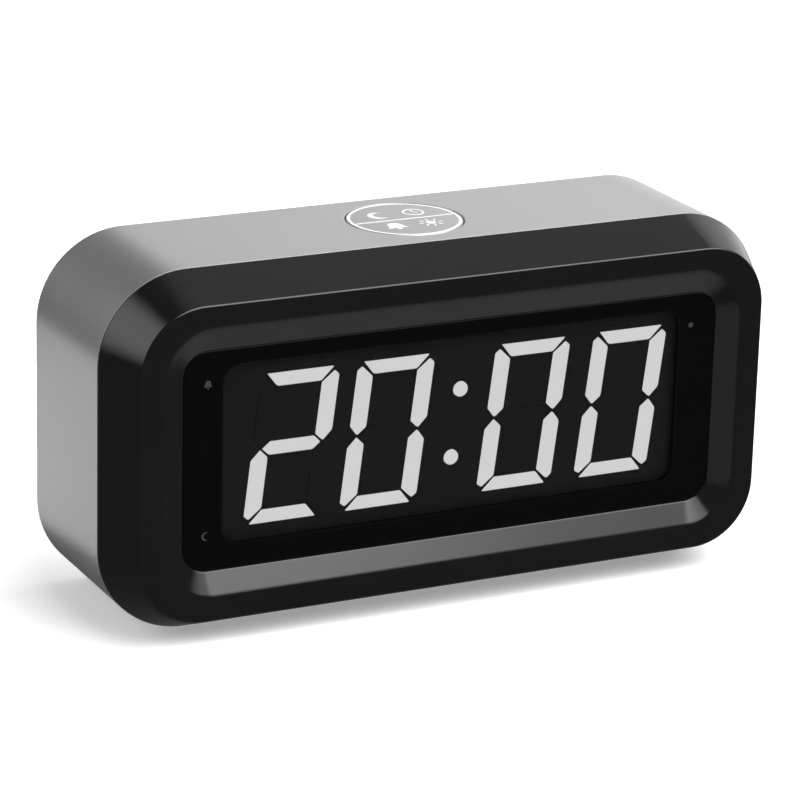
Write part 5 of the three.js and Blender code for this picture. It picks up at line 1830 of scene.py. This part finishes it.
@dataclass
class RearControls:
    """Four round keys and a ridged slide in the recess at the back."""

    case: Case
    keys: tuple[tuple[Body, float, str, Callable[[], list[Sequence[Point2]]]], ...] = (
        (Body.TIME, -14.0, "time_button", Pictogram.clock),
        (Body.ALARM, 0.0, "alarm_button", Pictogram.bell),
        (Body.UP, 14.0, "up_button", Pictogram.up),
        (Body.DOWN, 28.0, "down_button", Pictogram.down),
    )
    radius: float = 4.0
    face_depth: float = 44.0
    dish: float = 0.12
    flange: tuple[float, float, float] = (5.0, 40.35, 41.35)
    stem: Point2 = (1.6, 38.75)
    knob_x: float = 42.0
    knob_half: Point2 = (2.3, 1.7)
    knob_depths: Point2 = (41.0, 41.4)
    rib_count: int = 5
    rib_half: float = 0.26
    rib_rise: float = 0.45
    rim_edge: float = 0.35
    dish_radii: Point2 = (2.9, 1.6)
    sign_half: float = 1.15

    def build(self) -> None:
        """Makes the keys with their signs, and the slide."""
        for body, x, node, sign in self.keys:
            self._build_key(body, x, node, sign())
        self._build_slide()

    def _build_key(self, body: Body, x: float, node: str, sign: list[Sequence[Point2]]) -> None:
        """Makes one key, a little dished, with its sign.

        Args:
            body: What it rides on.
            x: Its place across the back.
            node: The frame node it stands for.
            sign: The printed sign's outlines.
        """
        y = self.case.y
        face = y(self.face_depth)
        edge, floor = self.rim_edge, face - self.dish
        turns = [math.pi / 2 * step / 5 for step in range(6)]
        rim = [
            (self.radius - edge + edge * math.cos(t), face - edge + edge * math.sin(t)) for t in turns
        ]
        dish_edge, dish_floor = self.dish_radii
        dished = [(dish_edge, face - self.dish * 0.6), (dish_floor, floor), (0.0, floor)]
        stem, stem_end = self.stem
        flange, flange_front, flange_back = self.flange
        profile = [
            (0.0, y(stem_end)),
            (stem, y(stem_end)),
            (stem, y(flange_front)),
            (flange, y(flange_front)),
            (flange, y(flange_back)),
            (self.radius, y(flange_back)),
            *rim,
            *dished,
        ]
        key = lathe(f"{node}_key", profile, (x, 0.0, self.case.control_z), "Y", 56)
        fitted(key, body, [node], KEY_BLACK)
        outlines = Pictogram.sized(sign, self.sign_half, (-x, self.case.control_z))
        ink = printed(f"{node}_sign", outlines, on_back, (floor - 0.05, face - 0.04))
        fitted(ink, body, (), PALE_INK)

    def _build_slide(self) -> None:
        """Makes the slide's knob from its base, body and ribs."""
        y = self.case.y
        place = (self.knob_x, self.case.control_z)
        half_x, half_z = self.knob_half
        low, high = (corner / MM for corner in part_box("slide_knob"))
        back = high.y
        half = ((high.x - low.x) / 2, (high.z - low.z) / 2)
        middle = ((high.x + low.x) / 2, (high.z + low.z) / 2)
        body_front, base_back = (y(depth) for depth in self.knob_depths)
        base = slab("base", half, 0.4, middle, (low.y, base_back), 0.1, 4)
        body = slab("body", (half_x, half_z), 0.5, place, (body_front, back - 0.35), 0.1, 6)
        combined(base, [body], "UNION")
        rise = self.rib_rise
        unit = slab("rib", (self.rib_half, half_z - 0.25), 0.2, (0.0, 0.0), (0.0, rise), 0.12, 4)
        pitch = 2 * (half_x - 0.45) / (self.rib_count - 1)
        ribs = Pattern("ridges").row(unit, self.rib_count, (pitch, 0.0, 0.0), KEY_BLACK)
        first = self.knob_x - pitch * (self.rib_count - 1) / 2
        moved(ribs, (first, back - rise, self.case.control_z))
        piece = merged("alarm_slide_knob", [coated(base, KEY_BLACK), ribs])
        fitted(piece, Body.SLIDE, ["slide_knob"])


@dataclass
class Fixings:
    """The case screws and the rubber feet."""

    case: Case
    head: Point2 = (2.7, 1.7)
    shank: Point2 = (1.25, 10.0)
    underside: float = 29.2
    slot: Point2 = (3.0, 0.62)
    slot_depth: float = 0.9
    thread_pitch: float = 0.6
    thread_core: float = 0.78
    dome: float = 0.5
    foot_radius: float = 4.5
    foot_height: float = 1.25
    foot_edge: float = 0.25
    foot_hollow: Point3 = (2.6, 2.9, 0.12)

    def build(self) -> None:
        """Makes both sets."""
        self._build_screws()
        self._build_feet()

    def _build_screws(self) -> None:
        """Repeats one cross-slotted screw at the four wells."""
        head, height = self.head
        shank, length = self.shank
        pitch, core, dome = self.thread_pitch, shank * self.thread_core, self.dome
        threads = int((length - 1.5) / pitch)
        profile: list[Point2] = [(0.0, -length)]
        for turn in range(threads):
            base = -length + 1.2 + turn * pitch
            profile += [(core, base), (shank, base + pitch / 2)]
        profile += [(core, -0.3), (shank, 0.0), (head, 0.0)]
        for turn in (0.0, 0.4, 0.8, 1.2, math.pi / 2):
            profile.append((head - dome + dome * math.cos(turn), height - dome + dome * math.sin(turn)))
        profile += [(0.8, height), (0.0, height)]
        unit = lathe("case_screws", profile, (0.0, 0.0, 0.0), "Z", 32)
        reach, wide = (part / 2 for part in self.slot)
        floor, above = height - self.slot_depth, height + PAST
        cross = [
            block("slot", (-half_x, -half_y, floor), (half_x, half_y, above))
            for half_x, half_y in ((reach, wide), (wide, reach))
        ]
        combined(unit, cross, "DIFFERENCE")
        spacing = (2 * self.case.boss_x, 2 * self.case.boss_rise)
        screws = Pattern("screw_places", 7).corners(unit, spacing, -math.pi / 2, ZINC)
        moved(screws, (0.0, self.case.y(self.underside), self.case.middle))
        nodes = [f"case_screw_{number}" for number in range(1, 5)]
        fitted(screws, Body.HOUSING, nodes)

    def _build_feet(self) -> None:
        """Repeats one rubber foot under the case."""
        edge, radius, height = self.foot_edge, self.foot_radius, self.foot_height
        turns = [math.pi / 2 * step / 4 for step in range(5)]
        lower = [(radius - edge + edge * math.sin(t), edge - edge * math.cos(t)) for t in turns]
        inner, outer, depth = self.foot_hollow
        hollow = [(0.0, depth), (inner, depth), (outer, 0.0)]
        profile = [*hollow, *lower, (radius, height), (0.0, height)]
        unit = lathe("rubber_feet", profile, (0.0, 0.0, 0.0), "Z", HOLE_STEPS)
        feet = Pattern("foot_places", 11).corners(unit, self.case.foot_spacing, 0.0, FOOT_RUBBER)
        moved(feet, (0.0, self.case.rear_y, 0.0))
        nodes = [f"rubber_foot_{number}" for number in range(1, 5)]
        fitted(feet, Body.HOUSING, nodes)


@dataclass
class BatteryBay:
    """The door with its grip, and the four dry cells behind it."""

    case: Case
    door_half: Point2 = (55.775, 16.6)
    door_corner: float = 2.0
    door_thickness: float = 2.1
    hook_width: float = 9.0
    hook_thickness: float = 1.2
    hook_reach: float = 1.8
    hook_spacing: float = 64.0
    latch_half: float = 7.0
    latch_length: float = 9.0
    slit_width: float = 0.8
    first_grip: float = 3.0
    grip_pitch: float = 1.8
    grip_depth: float = 0.5
    grip_count: int = 3
    grip_margin: float = 2.0
    hook_root: float = 0.2
    groove_edge: float = 0.1
    groove_corner: float = 0.2
    door_fillet: float = 0.2
    cell_radius: float = 7.25
    cell_length: float = 50.5
    cell_depth: float = 34.0

    def build(self) -> None:
        """Makes the door and the cells."""
        self._build_door()
        for number in range(1, 5):
            self._build_cell(f"aa_cell_{number}", number)

    def _build_door(self) -> None:
        """Makes the door with its two hooks, its grip grooves and the slits beside its latch."""
        case = self.case
        level = (case.bay_bottom + case.bay_top) / 2
        bottom, top = level - self.door_half[1], level + self.door_half[1]
        face, inner = case.y(case.depth), case.y(case.depth - self.door_thickness)
        y_range = (inner, face)
        door = slab(
            "battery_cover", self.door_half, self.door_corner, (0.0, level), y_range, self.door_fillet
        )
        hook_front = case.y(case.back_inside - case.gap - self.hook_thickness)
        hook_back = hook_front + self.hook_thickness
        half, reach = self.hook_width / 2, self.hook_reach
        hooks = []
        for x in (-self.hook_spacing / 2, self.hook_spacing / 2):
            for low, back in ((bottom - reach, hook_back), (bottom + self.hook_root, inner + 0.1)):
                hooks.append(block("hook", (x - half, hook_front, low), (x + half, back, bottom + reach)))
        combined(door, hooks, "UNION")
        width, length = self.slit_width, self.latch_length
        half_size, level = (width / 2, length / 2 + PAST), top + PAST - length / 2
        cutters = [
            self._groove(half_size, (x, level), (inner - PAST, face))
            for x in (-self.latch_half, self.latch_half)
        ]
        for number in range(self.grip_count):
            middle = (0.0, top - self.first_grip + width / 2 - self.grip_pitch * number)
            half_size = (self.latch_half - self.grip_margin, width / 2)
            cutters.append(self._groove(half_size, middle, (face - self.grip_depth, face)))
        combined(door, cutters, "DIFFERENCE")
        fitted(door, Body.DOOR, ["battery_door"], CASE_PAINT)

    def _groove(self, half_size: Point2, place: Point2, y_range: Point2) -> Object:
        """A narrow cutter whose edges are eased where it opens."""
        return plate_cutter(half_size, self.groove_corner, place, y_range, self.groove_edge, 3)

    def _build_cell(self, node: str, number: int) -> None:
        """Makes one cell in its node's place, with the distance along it stored on the mesh.

        Args:
            node: The frame node it stands for.
            number: Its number; the lower pair points left and the upper pair right.
        """
        low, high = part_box(node)
        is_lower = number <= 2
        radius, length = self.cell_radius, self.cell_length
        profile = [
            (0.0, 0.0),
            (radius - 0.8, 0.0),
            (radius - 0.25, 0.1),
            (radius, 0.5),
            (radius, length * 0.5),
            (radius, length - 1.9),
            (radius - 0.15, length - 1.55),
            (radius - 0.8, length - 1.3),
            (3.4, length - 1.25),
            (2.75, length - 1.1),
            (2.6, length - 0.2),
            (2.4, length),
            (0.0, length),
        ]
        start = high.x / MM if is_lower else low.x / MM
        side = -1 if is_lower else 1
        placed = [(r, side * h) for r, h in profile]
        z = (low.z + high.z) / 2 / MM
        cell = lathe(f"{node}_jacket", placed, (start, self.case.y(self.cell_depth), z), "X", 64)
        along = cell.data.attributes.new("along", "FLOAT", "POINT")
        for vertex, item in zip(cell.data.vertices, along.data):
            item.value = abs(vertex.co.x / MM - start) / length
        fitted(cell, Body.HOUSING, [node], CELL)


@dataclass
class InnerParts:
    """The frame's own pieces inside the case, each with its finish."""

    groups: tuple[tuple[str, Finish, tuple[str, ...]], ...] = (
        ("tape", TAPE, ("lens_tape",)),
        ("reflector_white", REFLECTOR, ("display_reflector",)),
        ("circuit_board", BOARD, ("display_board", "control_board", "snooze_board")),
        ("black_plastic", PART_BLACK, ("driver_chip", "main_chip", "sounder")),
        ("black_plastic", PART_BLACK, ("slide_switch", "snooze_switch", "tact_switch")),
        ("screw_steel", ZINC, ("display_screw", "control_screw", "snooze_screw")),
        ("spring_steel", NICKEL, ("quartz_crystal", "battery_spring", "bridge_contact")),
        ("spring_steel", NICKEL, ("negative_contact", "positive_contact")),
        ("black_lead", BLACK_SHEATH, ("negative_lead",)),
        ("red_lead", RED_SHEATH, ("positive_lead", "sounder_lead")),
        ("grey_ribbon", RIBBON, ("ribbon_cable",)),
    )

    def build(self, nodes: dict[str, Object]) -> None:
        """Gives every shown frame node its finish.

        Args:
            nodes: The frame's nodes by name.
        """
        finishes = {stem: (slot, finish) for slot, finish, stems in self.groups for stem in stems}
        for name, node in nodes.items():
            if node.hide_render:
                continue
            slot, finish = finishes[name.rstrip("0123456789").rstrip("_")]
            coated(node, finish)
            LOG.info("%s keeps its frame mesh", name)


# ------------------------------------------------------------------ studio


@dataclass(frozen=True)
class Glow:
    """One soft patch of the surrounding light."""

    direction: Point3
    full_angle: float
    end_angle: float
    strength: float


@dataclass(frozen=True)
class SoftBox:
    """A flat light near the clock: its middle, what it faces, its size and its brightness."""

    place: Point3
    facing: Point3
    size: Point2
    radiance: float


@dataclass
class Studio:
    """A pale floor, soft surrounding light and the camera."""

    glows: tuple[Glow, ...] = (
        Glow((0.8, 0.58, 0.1), 18, 46, 0.75),
        Glow((0.43, 0.36, 0.83), 12, 36, 0.42),
        Glow((-0.84, 0.2, 0.5), 6, 34, 2.5),
        Glow((0.43, -0.33, -0.84), 12, 34, 0.5),
        Glow((-0.35, -0.88, -0.31), 6, 20, 0.3),
        Glow((0.237, -0.871, 0.427), 9, 15, 3.2),
        Glow((0.4, -0.42, 0.81), 14, 42, 6.5),
    )
    ambient: float = 0.1
    boxes: tuple[SoftBox, ...] = (
        SoftBox((160.0, 215.0, 170.0), (50.0, 0.0, 70.0), (320.0, 320.0), 0.38),
        SoftBox((-113.0, 84.0, 4.0), (-73.0, 5.0, 34.0), (150.0, 60.0), 0.72),
    )
    target: Point3 = (-0.605, 3.97, 36.0)
    azimuth: float = -26.70
    elevation: float = 18.30
    roll: float = 1.56
    distance: float = 769.6
    lens: float = 169.8
    floor_half: float = 6.0
    floor_light: float = 0.28

    def build(self) -> None:
        """Makes the world, the floor and the camera."""
        self._build_world()
        for number, box in enumerate(self.boxes, 1):
            self._build_box(f"soft_box_{number}", box)
        self._build_floor()
        self._build_camera()
        bpy.context.scene.view_settings.view_transform = "Standard"

    def _build_world(self) -> None:
        """Sums the soft patches by direction."""
        world = bpy.data.worlds.new("soft_light")
        bpy.context.scene.world = world
        world.use_nodes = True
        world.node_tree.nodes.clear()
        nodes = Nodes(world.node_tree)
        towards = nodes.add("ShaderNodeTexCoord", output="Generated")
        total: Value = self.ambient
        for glow in self.glows:
            direction = tuple(Vector(glow.direction).normalized())
            inputs = {0: towards, 1: direction}
            settings = {"operation": "DOT_PRODUCT"}
            cosine = nodes.add("ShaderNodeVectorMath", settings, inputs, output="Value")
            end, full = math.cos(math.radians(glow.end_angle)), math.cos(math.radians(glow.full_angle))
            total = nodes.ramp(cosine, end, full) * glow.strength + total
        background = nodes.add("ShaderNodeBackground", None, {"Strength": total})
        nodes.add("ShaderNodeOutputWorld", None, {"Surface": background})

    def _build_box(self, name: str, box: SoftBox) -> None:
        """Makes one soft box, which the camera doesn't see.

        Args:
            name: The light's name.
            box: Its place, size and brightness.
        """
        data = bpy.data.lights.new(name, "AREA")
        data.shape = "RECTANGLE"
        data.size, data.size_y = (part * MM for part in box.size)
        data.energy = box.radiance * math.pi * data.size * data.size_y
        light = linked(name, data)
        along = Vector(box.facing) - Vector(box.place)
        turn = along.to_track_quat("-Z", "Y").to_matrix().to_4x4()
        light.matrix_world = Matrix.Translation(Vector(box.place) * MM) @ turn
        light.visible_camera = False

    def _build_floor(self) -> None:
        """Makes a wide pale floor that mirror-like surfaces don't pick up."""
        half = self.floor_half / MM
        corners = [(x * half, y * half, 0.0) for x, y in CORNER_SIDES]
        floor = made_object("floor", corners, [(0, 1, 2, 3)])
        coated(floor, PaleFloor("pale_floor", self.floor_light))
        floor.visible_glossy = False

    def _build_camera(self) -> None:
        """Sets the camera where the clock is seen from above its left front corner."""
        azimuth, elevation = math.radians(self.azimuth), math.radians(self.elevation)
        roll = math.radians(self.roll)
        back = Vector(
            (
                math.sin(azimuth) * math.cos(elevation),
                -math.cos(azimuth) * math.cos(elevation),
                math.sin(elevation),
            )
        )
        right = Vector((math.cos(azimuth), math.sin(azimuth), 0.0))
        up = back.cross(right)
        side = math.cos(roll) * right + math.sin(roll) * up
        over = math.cos(roll) * up - math.sin(roll) * right
        data = bpy.data.cameras.new("camera")
        data.lens = self.lens
        camera = linked("camera", data)
        turn = Matrix((side, over, back)).transposed().to_4x4()
        place = (Vector(self.target) + back * self.distance) * MM
        camera.matrix_world = Matrix.Translation(place) @ turn
        bpy.context.scene.camera = camera


def main() -> None:
    """Loads the frame and builds every sub-assembly in order."""
    logging.basicConfig(level=logging.INFO, format="%(message)s")
    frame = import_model()
    case = Case()
    for part in (
        Bezel(case),
        RearCase(case),
        Lens(case),
        Display(case),
        SnoozeButton(case),
        RearControls(case),
        Fixings(case),
        BatteryBay(case),
    ):
        part.build()
    InnerParts().build(frame["nodes"])
    Studio().build()


if __name__ == "__main__":
    main()
